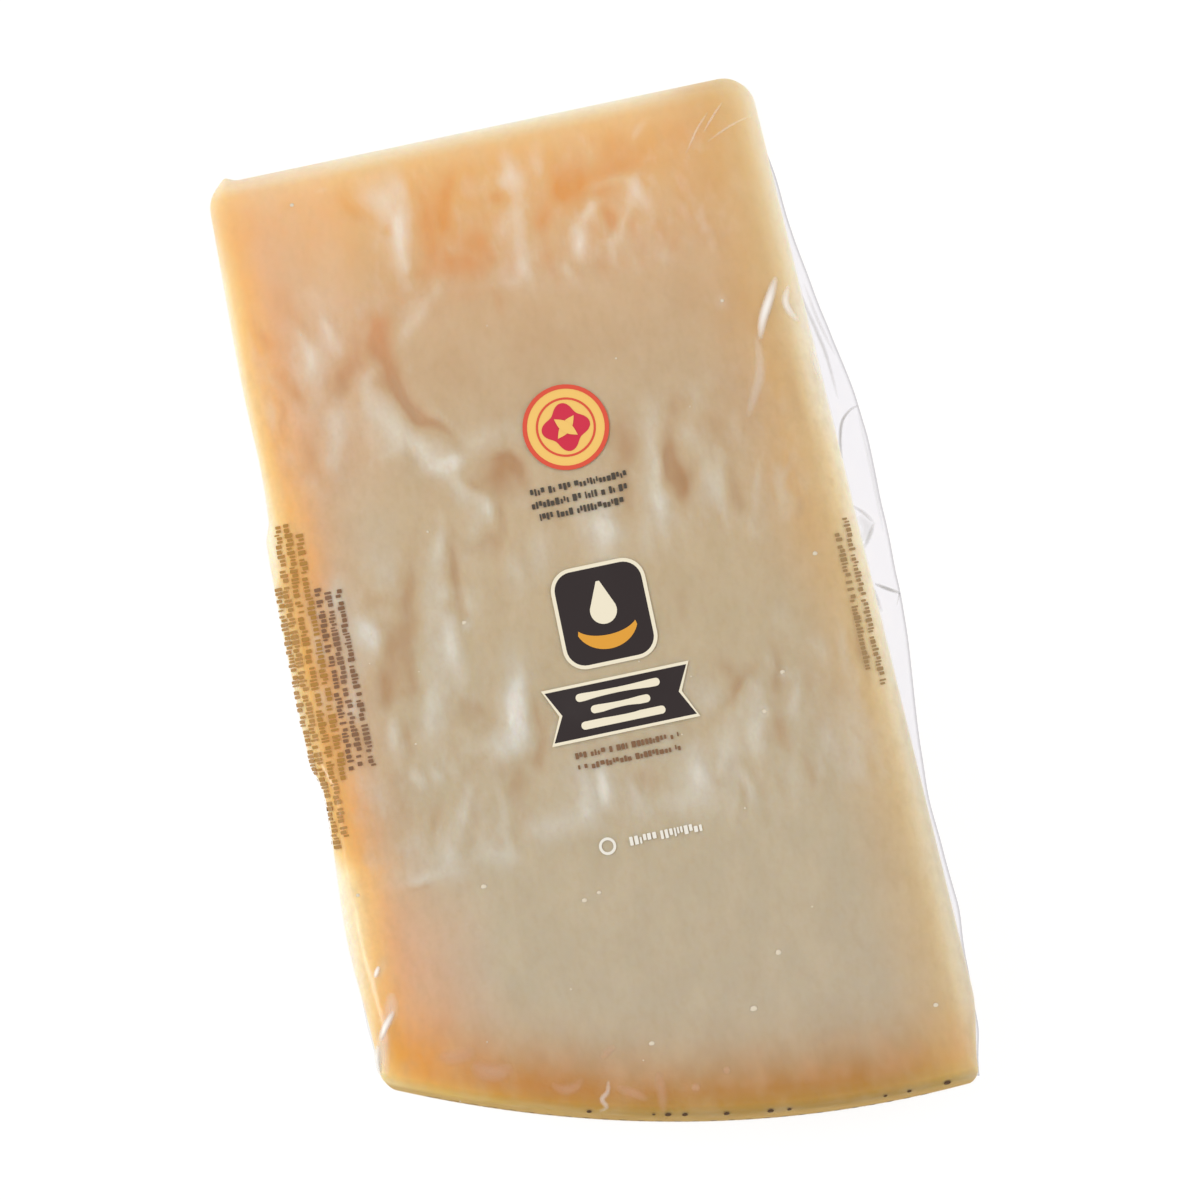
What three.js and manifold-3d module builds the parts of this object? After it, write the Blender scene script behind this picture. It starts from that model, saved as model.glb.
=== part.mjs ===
// A vacuum-packed wedge of hard cheese: a radial piece of half a wheel's height, lying on one of its
// two cut faces. +Y runs from the rind heel to the tip near the wheel's axis, +X from the wheel's flat
// rind face to the cut at half its height, +Z up. Millimetres, origin under the middle of the pack.
import * as THREE from 'three';
import { mergeVertices } from 'three/addons/utils/BufferGeometryUtils.js';
import Module from 'manifold-3d';

const wasm = await Module();
wasm.setup();

const { degToRad, lerp, smoothstep } = THREE.MathUtils;

// Wedge.
const rindFaceAtTip = -61.4;
const rindFaceAtHeel = -58.9;
const rindFaceBulge = 1;
const rindFaceDents = [[38, 14, 0.7], [-41, 10, 1.1], [13, 12, -0.5]]; // place along Y, half length, depth
const halfHeightCutAtTip = 54.2;
const halfHeightCutAtHeel = 56.3;
const heelY = -108;
const tipY = 108;
const tipThickness = 10.5;
const wedgeAngle = degToRad(15.3);
const wheelRadius = 208; // bends the heel across the wedge's thickness
const barrelMiddle = 41.5; // where along X the heel stands out most
const barrelCurve = 0.0022; // how far the heel falls back from there, per mm squared

// Edge roundings, as radii along X, Y and Z.
const rindEdge = 4.5;
const cutEdge = 6.5;
const heelEdge = 4.5;
const tipEdge = 7;
const faceEdge = 4.6;

// Film seam that stands out along the half-height cut, and the folded film at the rind's heel corner.
// Stations give a place along Y and the X that the film reaches there.
const filmThickness = 1.2;
const filmRoot = 6; // depth to which the film is joined into the wedge
const seamStations = [
  [-100, 57.8], [-87, 59], [-71, 60.3], [-45, 59.2], [-24, 60.9], [-5, 62.4],
  [27, 62.6], [36, 62.3], [48, 60.4], [73, 56.6], [92, 55],
];
const seamHeightShare = 0.4; // of the wedge's thickness
const flapStations = [[-84, -60.6], [-78, -62.2], [-70, -62.6], [-58, -62.2], [-45, -60.8]];
const flapHeightShare = 0.62;
const filmWave = 0.5;

// Mesh fineness: segments over each rounded edge, and between them.
const edgeSegments = 3;
const edgeSegmentsZ = 2;
const middleSegments = new THREE.Vector3(25, 53, 2);
const filmSegments = 36;

// Broken bands of the cut face, as boxes in X and Y with a soft border, and how deep they lie.
const bandBorder = 3;
const bandWander = { size: 12, stretch: 1, reach: 4, seed: 3 }; // bends the bands' borders
const brokenBands = [
  { left: -29, right: 54, low: 73, high: 99, depth: 1.5 },
  { left: -62, right: -30, low: 43, high: 76, depth: 1.7 },
  { left: -15, right: 54, low: 16, high: 44, depth: 1.3 },
  { left: -52, right: -26, low: -40, high: 18, depth: 1.5 },
  { left: -34, right: 52, low: -40, high: -13, depth: 1.3 },
];

// Crags in the bands, ridges with a positive rise and hollows with a negative one: middle X and Y,
// half length, half width, turn of the length from +Y in degrees, and rise.
const crags = [
  [-23, 89, 11, 2.6, 2, 1.6], [-14, 81.5, 5, 4, 20, -1.9], [-15, 90, 5, 1.6, 12, -0.9],
  [1, 83, 9, 2.4, 0, 1.5], [11.5, 93, 6, 3, 80, -1.4], [10, 78, 3, 2.4, 20, 1],
  [20, 83, 2.6, 2.6, 0, -1.7], [25.5, 86, 5, 2.2, 25, 1.2], [36, 88, 5, 2.5, 60, -0.9],
  [-48, 67, 7.5, 2.6, 14, 1.7], [-43, 71, 4, 1.9, 8, 1.1], [-38.5, 63, 6, 3.4, -40, -1.9],
  [-46, 56, 3.5, 3, 0, 0.9], [-42, 47, 5, 2.4, 70, -1.3], [-56, 58, 6, 2.6, 10, -0.9],
  [-34, 51.5, 10, 3.2, 28, 1.9], [-25.5, 39, 9, 3.2, 42, 2], [-18.5, 29, 4, 2.6, 20, 1.5],
  [-13, 35.5, 4.5, 3.6, 70, -2], [4.6, 20.5, 5, 2.4, 4, 1.3], [19.3, 36, 7.5, 2, 0, 1.5],
  [21.6, 26, 5.5, 2.1, -8, -1.9], [28.5, 27, 7.5, 3, 12, 1.5], [37, 25, 6, 1.8, 6, 0.9],
  [-41.5, 4.5, 6, 2.6, 12, -1.7], [-38, -5.5, 6.5, 2.8, -18, -1.7], [-32.5, 4, 9, 2.3, -6, 1.5],
  [-42.5, -13, 5, 2.6, 25, -1.2], [-45.5, -19, 5, 2, 0, 1.1], [-27.5, -9, 4, 3, 0, -1.4],
  [-20.5, -13, 4.4, 2.2, -14, 2], [-22, -26, 7, 2.6, 0, 1.3], [-31, -25, 7, 2.2, 4, 1],
  [-4, -29, 6.5, 2.5, 0, 1.4], [5.5, -29, 5.5, 2.3, 0, 1.3], [12, -30.5, 6, 2.6, -10, 1.5],
  [0.8, -31, 5, 1.8, 0, -1.1], [19, -27, 4, 2.2, 30, 1], [26, -16.5, 3.2, 2.4, 40, -1.4],
  [29.5, -21, 4, 2.4, 55, 1.5], [37, -29, 6, 1.9, 0, 0.8], [44, -27, 7, 1.9, -4, 0.7],
];
const highestCrag = 0.3; // above the cut face
const crumble = { size: 9, stretch: 1.6, share: 0.4, seed: 1 }; // loose bumps, as a share of a band's depth
const unevenness = { size: 26, stretch: 1.3, height: 0.25, seed: 2 }; // of the whole cut face

// The hidden face is broken like the upper one, turned end for end, and lies flat between its bands.
const hiddenShiftY = -12;

// Smooth seeded noise in -1..1, with bumps about size wide and stretch times as long along Y.
function swell(x, y, { size, stretch, seed }) {
  const corner = (i, j) => {
    const value = Math.sin(i * 127.1 + j * 311.7 + seed * 74.7) * 43758.5453;
    return value - Math.floor(value);
  };
  const u = x / size;
  const v = y / (size * stretch);
  const i = Math.floor(u);
  const j = Math.floor(v);
  const a = smoothstep(u - i, 0, 1);
  const b = smoothstep(v - j, 0, 1);
  const lower = lerp(corner(i, j), corner(i + 1, j), a);
  const upper = lerp(corner(i, j + 1), corner(i + 1, j + 1), a);
  return 2 * lerp(lower, upper, b) - 1;
}

// 0 outside low..high, 1 inside, with a soft border.
function within(value, low, high) {
  const rising = smoothstep(value, low - bandBorder, low + bandBorder);
  return rising * (1 - smoothstep(value, high - bandBorder, high + bandBorder));
}

function cragHeight([middleX, middleY, halfLength, halfWidth, turn, rise], x, y) {
  const angle = degToRad(turn);
  const along = (y - middleY) * Math.cos(angle) - (x - middleX) * Math.sin(angle);
  const across = (x - middleX) * Math.cos(angle) + (y - middleY) * Math.sin(angle);
  return rise * Math.exp(-((along / halfLength) ** 2) - (across / halfWidth) ** 2);
}

// How far the broken face stands over its plane.
function faceRelief(x, y) {
  const wander = bandWander.reach * swell(x, y, bandWander);
  let depth = 0;
  for (const band of brokenBands) {
    const share = within(x + wander, band.left, band.right) * within(y + wander, band.low, band.high);
    depth = Math.max(depth, band.depth * share);
  }
  let height = depth * (crumble.share * swell(x, y, crumble) - 1);
  for (const crag of crags) height += cragHeight(crag, x, y);
  return Math.min(height, highestCrag);
}

const thicknessAt = (y) => tipThickness + (tipY - y) * Math.tan(wedgeAngle);

// The wheel's flat rind face: it leans a little, swells in the middle and has soft dents.
function rindFaceAt(y) {
  const share = (y - heelY) / (tipY - heelY);
  let face = lerp(rindFaceAtHeel, rindFaceAtTip, share) - rindFaceBulge * Math.sin(Math.PI * share);
  for (const [place, halfLength, depth] of rindFaceDents) face += depth * Math.exp(-(((y - place) / halfLength) ** 2));
  return face;
}

// The cut at half the wheel's height.
const cutFaceAt = (y) => lerp(halfHeightCutAtHeel, halfHeightCutAtTip, (y - heelY) / (tipY - heelY));

// Moves a share 0..1 so that edgeSegments of the segments cover each rounded edge of the given length.
function gather(share, segments, middle, lowEdge, highEdge, length) {
  const edge = (segments - middle) / 2;
  const step = share * segments;
  if (step <= edge) return (step / edge) * lowEdge / length;
  if (step >= segments - edge) return 1 - ((segments - step) / edge) * highEdge / length;
  return lerp(lowEdge, length - highEdge, (step - edge) / middle) / length;
}

// Pushes a point of the plain block out from the block's core to an ellipsoid's skin.
function roundOff(plain, low, high, radii) {
  const core = plain.clone().clamp(low, high);
  const out = plain.clone().sub(core).divide(radii);
  return out.lengthSq() === 0 ? core : core.add(out.normalize().multiply(radii));
}

const wedgeSegments = new THREE.Vector3(
  middleSegments.x + 2 * edgeSegments,
  middleSegments.y + 2 * edgeSegments,
  middleSegments.z + 2 * edgeSegmentsZ,
);

// Places a point of the unit block, 0..1 each way, on the wedge.
function onWedge(unit) {
  const length = tipY - heelY;
  const y = heelY + length * gather(unit.y, wedgeSegments.y, middleSegments.y, heelEdge, tipEdge, length);
  const rindFace = rindFaceAt(y);
  const cutFace = cutFaceAt(y);
  const width = cutFace - rindFace;
  const x = rindFace + width * gather(unit.x, wedgeSegments.x, middleSegments.x, rindEdge, cutEdge, width);
  const thickness = thicknessAt(y);
  const z = thickness * gather(unit.z, wedgeSegments.z, middleSegments.z, faceEdge, faceEdge, thickness);

  const low = new THREE.Vector3(rindFace + rindEdge, heelY + heelEdge, faceEdge);
  const high = new THREE.Vector3(cutFace - cutEdge, tipY - tipEdge, thickness - faceEdge);
  const radii = new THREE.Vector3(unit.x < 0.5 ? rindEdge : cutEdge, unit.y < 0.5 ? heelEdge : tipEdge, faceEdge);
  const point = roundOff(new THREE.Vector3(x, y, z), low, high, radii);

  const heelShare = (tipY - point.y) / length;
  const rise = point.z / thicknessAt(point.y);
  const sag = barrelCurve * (point.x - barrelMiddle) ** 2 + (point.z - tipThickness / 2) ** 2 / (2 * wheelRadius);
  point.y += heelShare * sag;
  point.z = rise * thicknessAt(point.y);

  // The relief fades out over the rounded edges.
  const insideX = Math.min((x - rindFace) / rindEdge, (cutFace - x) / cutEdge);
  const insideY = Math.min((y - heelY) / heelEdge, (tipY - y) / tipEdge);
  const open = smoothstep(Math.min(insideX, insideY), 0, 2);
  if (unit.z === 1) {
    const height = open * (faceRelief(point.x, point.y) + unevenness.height * swell(point.x, point.y, unevenness));
    point.y += height * Math.sin(wedgeAngle);
    point.z += height * Math.cos(wedgeAngle);
  } else if (unit.z === 0) {
    point.z -= open * Math.min(0, faceRelief(-point.x, hiddenShiftY - point.y));
  }
  return point;
}

// The X that the film reaches at y, by smooth steps from station to station.
function filmReach(stations, y) {
  const next = Math.max(1, stations.findIndex(([place]) => place >= y));
  const [fromY, fromX] = stations[next - 1];
  const [toY, toX] = stations[next];
  return lerp(fromX, toX, smoothstep(y, fromY, toY));
}

// Places a point of the unit block on a thin strip of film that stands out from one side of the wedge.
function onFilm(unit, stations, heightShare, side) {
  const y = lerp(stations[0][0], stations.at(-1)[0], unit.y);
  const face = side > 0 ? cutFaceAt(y) : rindFaceAt(y);
  const reach = side > 0 ? unit.x : 1 - unit.x;
  const x = lerp(face - side * filmRoot, filmReach(stations, y), reach);
  const wave = filmWave * reach * swell(x, y, unevenness);
  return new THREE.Vector3(x, y, heightShare * thicknessAt(y) + wave + filmThickness * (unit.z - 0.5));
}

// A solid made by placing every point of a unit block of so many segments.
function placedBlock(segments, place) {
  const block = new THREE.BoxGeometry(1, 1, 1, segments.x, segments.y, segments.z);
  block.deleteAttribute('normal');
  block.deleteAttribute('uv');
  const geometry = mergeVertices(block);
  const positions = geometry.attributes.position;
  for (let n = 0; n < positions.count; n++) {
    const unit = new THREE.Vector3().fromBufferAttribute(positions, n).addScalar(0.5);
    const point = place(unit);
    positions.setXYZ(n, point.x, point.y, point.z);
  }
  return new wasm.Manifold(new wasm.Mesh({
    numProp: 3,
    vertProperties: new Float32Array(positions.array),
    triVerts: new Uint32Array(geometry.index.array),
  }));
}

function toGeometry(solid) {
  const mesh = solid.getMesh();
  const geometry = new THREE.BufferGeometry();
  geometry.setAttribute('position', new THREE.BufferAttribute(mesh.vertProperties, mesh.numProp));
  geometry.setIndex(new THREE.BufferAttribute(mesh.triVerts, 1));
  geometry.computeVertexNormals();
  return geometry;
}

const strip = new THREE.Vector3(2, filmSegments, 1);
const wedge = placedBlock(wedgeSegments, onWedge);
const seam = placedBlock(strip, (unit) => onFilm(unit, seamStations, seamHeightShare, 1));
const flap = placedBlock(strip, (unit) => onFilm(unit, flapStations, flapHeightShare, -1));

const pack = new THREE.Mesh(
  toGeometry(wedge.add(seam).add(flap)),
  new THREE.MeshStandardMaterial({ color: '#cdb08a', roughness: 0.35, metalness: 0 }),
);
pack.name = 'vacuum_packed_wedge';
pack.geometry.computeBoundingBox();
const middle = pack.geometry.boundingBox.getCenter(new THREE.Vector3());
pack.geometry.translate(-middle.x, -middle.y, -pack.geometry.boundingBox.min.z);

const part = new THREE.Group();
part.add(pack);
export default part;
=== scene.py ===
import math
import random

import bpy
import numpy as np
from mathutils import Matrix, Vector
from mathutils.bvhtree import BVHTree
from mathutils.geometry import delaunay_2d_cdt


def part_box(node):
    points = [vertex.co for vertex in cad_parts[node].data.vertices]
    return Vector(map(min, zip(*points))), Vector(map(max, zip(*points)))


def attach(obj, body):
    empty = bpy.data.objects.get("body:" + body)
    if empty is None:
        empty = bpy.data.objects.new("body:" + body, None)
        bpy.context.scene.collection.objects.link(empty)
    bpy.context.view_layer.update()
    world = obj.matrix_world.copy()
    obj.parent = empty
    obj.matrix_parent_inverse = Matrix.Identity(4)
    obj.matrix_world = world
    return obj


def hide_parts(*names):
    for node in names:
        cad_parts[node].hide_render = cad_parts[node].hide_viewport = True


mm = 0.001
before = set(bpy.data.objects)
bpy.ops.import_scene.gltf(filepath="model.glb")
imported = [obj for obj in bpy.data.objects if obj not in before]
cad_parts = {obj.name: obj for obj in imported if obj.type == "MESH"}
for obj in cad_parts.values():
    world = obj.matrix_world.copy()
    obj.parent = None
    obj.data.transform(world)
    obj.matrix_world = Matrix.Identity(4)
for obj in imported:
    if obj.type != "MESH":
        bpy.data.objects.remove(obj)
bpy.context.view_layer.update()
packNode = "vacuum_packed_wedge"
packLow, packHigh = (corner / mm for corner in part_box(packNode))

# The wedge under the film, in millimetres. It lies on one cut face, +Y from the rind heel to the tip,
# +X from the wheel's flat rind face to the cut at half its height.
wedge = {
    "heelY": packLow.y + 2.0,
    "tipY": packHigh.y,
    "rindFaceAtTip": -61.4,
    "rindFaceAtHeel": -59.4,
    "rindFaceBulge": 1.0,
    "rindFaceDents": [(38, 14, 0.7), (-41, 10, 0.7), (-74, 15, -0.9)],  # place, half length, depth
    "printBulge": {"low": -34, "high": 24, "border": 3, "rise": 1.1},
    "cutFaceAtTip": 54.5,
    "cutFaceAtHeel": 57.0,
    "cutFaceTaper": {"start": -88, "by": 2.6},
    "cornerPeak": {"x": -57.0, "half": 1.3, "rise": 0.9, "reach": 5},  # film drawn to a point at the tip
    "tipThickness": 10.5,
    "angle": math.radians(15.3),
    "wheelRadius": 250.0,  # bends the heel across the wedge's thickness
    "barrelMiddle": 41.5,
    "barrelCurve": 0.0022,
    "rindEdge": 4.5,
    "cutEdge": 6.5,
    "heelEdge": 1.8,
    "cornerShare": 0.16,  # of the long edges' radii, left at the heel's corners
    "cornerReach": 12,  # from the heel, over which they widen to their full radii
    "tipEdge": 7.0,
    "faceEdge": 4.6,
}
wedgeLength = wedge["tipY"] - wedge["heelY"]

skin = {
    "counts": (146, 262, 20),  # quads along X, Y and Z
    "edgeCounts": (7, 7, 5),  # of them, over each rounded edge
    "filmGap": 0.12,
    "cheeseInset": 0.1,
    "rindStarts": (3, 8),  # mm below the top, where the rind's colour begins and where it is full
}


# Small helpers
def smoothStep(value, low=0.0, high=1.0):
    share = np.clip((value - low) / (high - low), 0, 1)
    return share * share * (3 - 2 * share)


def within(value, low, high, border):
    rising = smoothStep(value, low - border, low + border)
    return rising * (1 - smoothStep(value, high - border, high + border))


def swell(x, y, size, stretch=1.0, seed=0):
    # smooth seeded noise in -1..1, with bumps about size wide and stretch times as long along y
    def corner(i, j):
        value = np.sin(i * 127.1 + j * 311.7 + seed * 74.7) * 43758.5453
        return value - np.floor(value)

    u, v = x / size, y / (size * stretch)
    i, j = np.floor(u), np.floor(v)
    a, b = smoothStep(u - i), smoothStep(v - j)
    lower = corner(i, j) * (1 - a) + corner(i + 1, j) * a
    upper = corner(i, j + 1) * (1 - a) + corner(i + 1, j + 1) * a
    return 2 * (lower * (1 - b) + upper * b) - 1


def toLinear(hexColour, alpha=1.0):
    # sRGB hex to the linear colour that shaders use
    parts = [int(hexColour[n : n + 2], 16) / 255 for n in (0, 2, 4)]
    linear = [p / 12.92 if p <= 0.04045 else ((p + 0.055) / 1.055) ** 2.4 for p in parts]
    return (*linear, alpha)


def addNode(tree, kind, sockets=None, stops=(), **settings):
    made = tree.nodes.new("ShaderNode" + kind)
    for name, value in settings.items():
        setattr(made, name, value)
    for socket, value in (sockets or {}).items():
        if isinstance(value, bpy.types.NodeSocket):
            tree.links.new(value, made.inputs[socket])
        else:
            made.inputs[socket].default_value = value
    for number, (place, colour) in enumerate(stops):
        elements = made.color_ramp.elements
        stop = elements[number] if number < 2 else elements.new(place)
        stop.position, stop.color = place, colour
    return made


def newMaterial(name, finish, *settings):
    # finish adds the nodes of one finish and returns the last of them
    material = bpy.data.materials.new(name)
    material.use_nodes = True
    tree = material.node_tree
    tree.nodes.clear()
    addNode(tree, "OutputMaterial", {"Surface": finish(tree, *settings).outputs[0]})
    return material


def opaqueFinish(tree, hexColour, roughness, specular=0.5):
    # one colour all over, such as ink or a crystal
    return addNode(tree, "BsdfPrincipled", {
        "Base Color": toLinear(hexColour), "Roughness": roughness, "Specular IOR Level": specular})


def overClear(tree, tint, share, finish):
    # clear film of a tint, with another finish showing by its share
    clear = addNode(tree, "BsdfTransparent", {"Color": tint})
    return addNode(tree, "MixShader", {0: share, 1: clear.outputs[0], 2: finish.outputs[0]})


def newMesh(name, points, faces, material):
    mesh = bpy.data.meshes.new(name)
    faces = faces if isinstance(faces, list) else faces.tolist()
    mesh.from_pydata((np.asarray(points) * mm).tolist(), [], faces)
    mesh.validate()
    mesh.polygons.foreach_set("use_smooth", [True] * len(mesh.polygons))
    piece = bpy.data.objects.new(name, mesh)
    bpy.context.scene.collection.objects.link(piece)
    mesh.materials.append(material)
    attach(piece, "root")
    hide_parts(packNode)
    return piece


def storeField(piece, name, values):
    field = piece.data.attributes.new(name, "FLOAT", "POINT")
    field.data.foreach_set("value", np.asarray(values, np.float32))


def facesOf(numbers, flip=False):
    # quads over a grid of point numbers
    quads = np.stack([numbers[:-1, :-1], numbers[1:, :-1], numbers[1:, 1:], numbers[:-1, 1:]], -1)
    quads = quads.reshape(-1, 4)
    return quads[:, ::-1] if flip else quads


def normalsOf(points, quads):
    corners = points[quads]
    across = np.cross(corners[:, 2] - corners[:, 0], corners[:, 3] - corners[:, 1])
    total = np.zeros_like(points)
    for n in range(4):
        for axis in range(3):
            total[:, axis] += np.bincount(quads[:, n], across[:, axis], len(points))
    return total / np.maximum(np.linalg.norm(total, axis=1, keepdims=True), 1e-12)


def closedSheet(points, quads, thickness):
    # a thin closed solid over an open sheet of quads
    push = normalsOf(points, quads) * thickness / 2
    count = len(points)
    edges = np.concatenate([quads[:, [n, (n + 1) % 4]] for n in range(4)])
    known = {(a, b) for a, b in edges.tolist()}
    rim = [[b, a, a + count, b + count] for a, b in edges.tolist() if (b, a) not in known]
    faces = quads.tolist() + (quads[:, ::-1] + count).tolist() + rim
    return np.concatenate([points + push, points - push]), faces


# The wedge's skin: a block's surface grid, placed on the rounded wedge
def thicknessAt(y):
    return wedge["tipThickness"] + (wedge["tipY"] - y) * math.tan(wedge["angle"])


def plainRindFaceAt(y):
    share = (y - wedge["heelY"]) / wedgeLength
    lean = wedge["rindFaceAtHeel"] + share * (wedge["rindFaceAtTip"] - wedge["rindFaceAtHeel"])
    face = lean - wedge["rindFaceBulge"] * np.sin(np.pi * share)
    for place, halfLength, depth in wedge["rindFaceDents"]:
        face = face + depth * np.exp(-(((y - place) / halfLength) ** 2))
    return face


def rindFaceAt(y):
    bulge = wedge["printBulge"]
    return plainRindFaceAt(y) - bulge["rise"] * within(y, bulge["low"], bulge["high"], bulge["border"])


def cutFaceAt(y):
    share = (y - wedge["heelY"]) / wedgeLength
    taper = wedge["cutFaceTaper"]
    face = wedge["cutFaceAtHeel"] + share * (wedge["cutFaceAtTip"] - wedge["cutFaceAtHeel"])
    return face - taper["by"] * (1 - smoothStep(y, wedge["heelY"], taper["start"]))


def heelSag(x, z):
    across = (z - wedge["tipThickness"] / 2) ** 2 / (2 * wedge["wheelRadius"])
    return wedge["barrelCurve"] * (x - wedge["barrelMiddle"]) ** 2 + across


def blockSkin(counts):
    number = np.full([n + 1 for n in counts], -1)
    places = np.indices(number.shape)
    ends = [(places[axis] == 0) | (places[axis] == counts[axis]) for axis in range(3)]
    onSkin = ends[0] | ends[1] | ends[2]
    number[onSkin] = np.arange(onSkin.sum())
    unit = np.stack([places[axis][onSkin] / counts[axis] for axis in range(3)], 1)
    quads = [
        facesOf(number[:, :, -1]), facesOf(number[:, :, 0], True),
        facesOf(number[:, 0, :]), facesOf(number[:, -1, :], True),
        facesOf(number[0, :, :], True), facesOf(number[-1, :, :]),
    ]
    return unit, np.concatenate(quads)


def gather(share, count, edgeCount, lowEdge, highEdge, length):
    # spends edgeCount of the quads on each rounded edge
    edge = edgeCount / count
    middle = lowEdge + (length - lowEdge - highEdge) * (share - edge) / (1 - 2 * edge)
    low = share / edge * lowEdge
    high = length - (1 - share) / edge * highEdge
    return np.where(share < edge, low, np.where(share > 1 - edge, high, middle))


def wedgeSkin():
    unit, quads = blockSkin(skin["counts"])
    counts, edgeCounts = skin["counts"], skin["edgeCounts"]
    y = wedge["heelY"] + gather(
        unit[:, 1], counts[1], edgeCounts[1], wedge["heelEdge"], wedge["tipEdge"], wedgeLength)
    rindFace, cutFace = rindFaceAt(y), cutFaceAt(y)
    width = cutFace - rindFace
    # the long edges get crisper towards the heel
    widened = smoothStep(y, wedge["heelY"], wedge["heelY"] + wedge["cornerReach"])
    crisp = wedge["cornerShare"] + (1 - wedge["cornerShare"]) * widened
    rindEdge, cutEdge = wedge["rindEdge"] * crisp, wedge["cutEdge"] * crisp
    x = rindFace + gather(unit[:, 0], counts[0], edgeCounts[0], rindEdge, cutEdge, width)
    thickness = thicknessAt(y)
    z = gather(unit[:, 2], counts[2], edgeCounts[2], wedge["faceEdge"], wedge["faceEdge"], thickness)

    plain = np.stack([x, y, z], 1)
    heelEdge, tipEdge, faceEdge = (wedge[name] + 0 * y for name in ("heelEdge", "tipEdge", "faceEdge"))
    low = np.stack([rindFace + rindEdge, wedge["heelY"] + heelEdge, faceEdge], 1)
    high = np.stack([cutFace - cutEdge, wedge["tipY"] - tipEdge, thickness - faceEdge], 1)
    radii = np.stack([np.where(unit[:, 0] < 0.5, rindEdge, cutEdge),
                      np.where(unit[:, 1] < 0.5, heelEdge, tipEdge), faceEdge], 1)
    core = np.clip(plain, low, high)
    out = (plain - core) / radii
    points = core + out / np.linalg.norm(out, axis=1, keepdims=True) * radii

    heelShare = (wedge["tipY"] - points[:, 1]) / wedgeLength
    rise = points[:, 2] / thicknessAt(points[:, 1])
    points[:, 1] += heelShare * heelSag(points[:, 0], points[:, 2])
    points[:, 2] = rise * thicknessAt(points[:, 1])
    peak = wedge["cornerPeak"]
    points[:, 1] += (peak["rise"] * np.exp(-(((points[:, 0] - peak["x"]) / peak["half"]) ** 2))
                     * smoothStep(points[:, 1], wedge["tipY"] - peak["reach"], wedge["tipY"]))

    insideX = np.minimum((x - rindFace) / rindEdge, (cutFace - x) / cutEdge)
    insideY = np.minimum((y - wedge["heelY"]) / wedge["heelEdge"], (wedge["tipY"] - y) / wedge["tipEdge"])
    return {
        "unit": unit,
        "quads": quads,
        "points": points,
        "normals": normalsOf(points, quads),
        "open": smoothStep(np.minimum(insideX, insideY), 0, 2),
    }


# Relief of a broken cut face, in millimetres
bands = {
    "border": 5.0,
    "cragShare": 0.38,  # of the rises below, as the crags are worn soft
    "wander": {"size": 12.0, "seed": 3, "reach": 4.0},
    "warp": {"size": 4.5, "reach": 0.9, "seeds": (21, 22)},  # roughens the outlines of the crags
    "halo": {"share": 0.33, "reach": 2.1},  # the soft foot of each crag, wider than its core
    "core": 1.5,
    "looseTone": 0.7,
    "crumble": {"size": 6.0, "stretch": 1.3, "seed": 1, "share": 0.22},
    "grit": {"size": 2.8, "stretch": 1.4, "seed": 5, "share": 0.08},
    # left, right, low, high, depth
    "boxes": [
        (-29, 44, 73, 100, 0.9), (-62, -24, 40, 76, 1.0), (-15, 54, 16, 44, 0.7),
        (-60, -20, -40, 24, 0.9), (-34, 56, -40, -12, 0.7),
    ],
}

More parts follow.
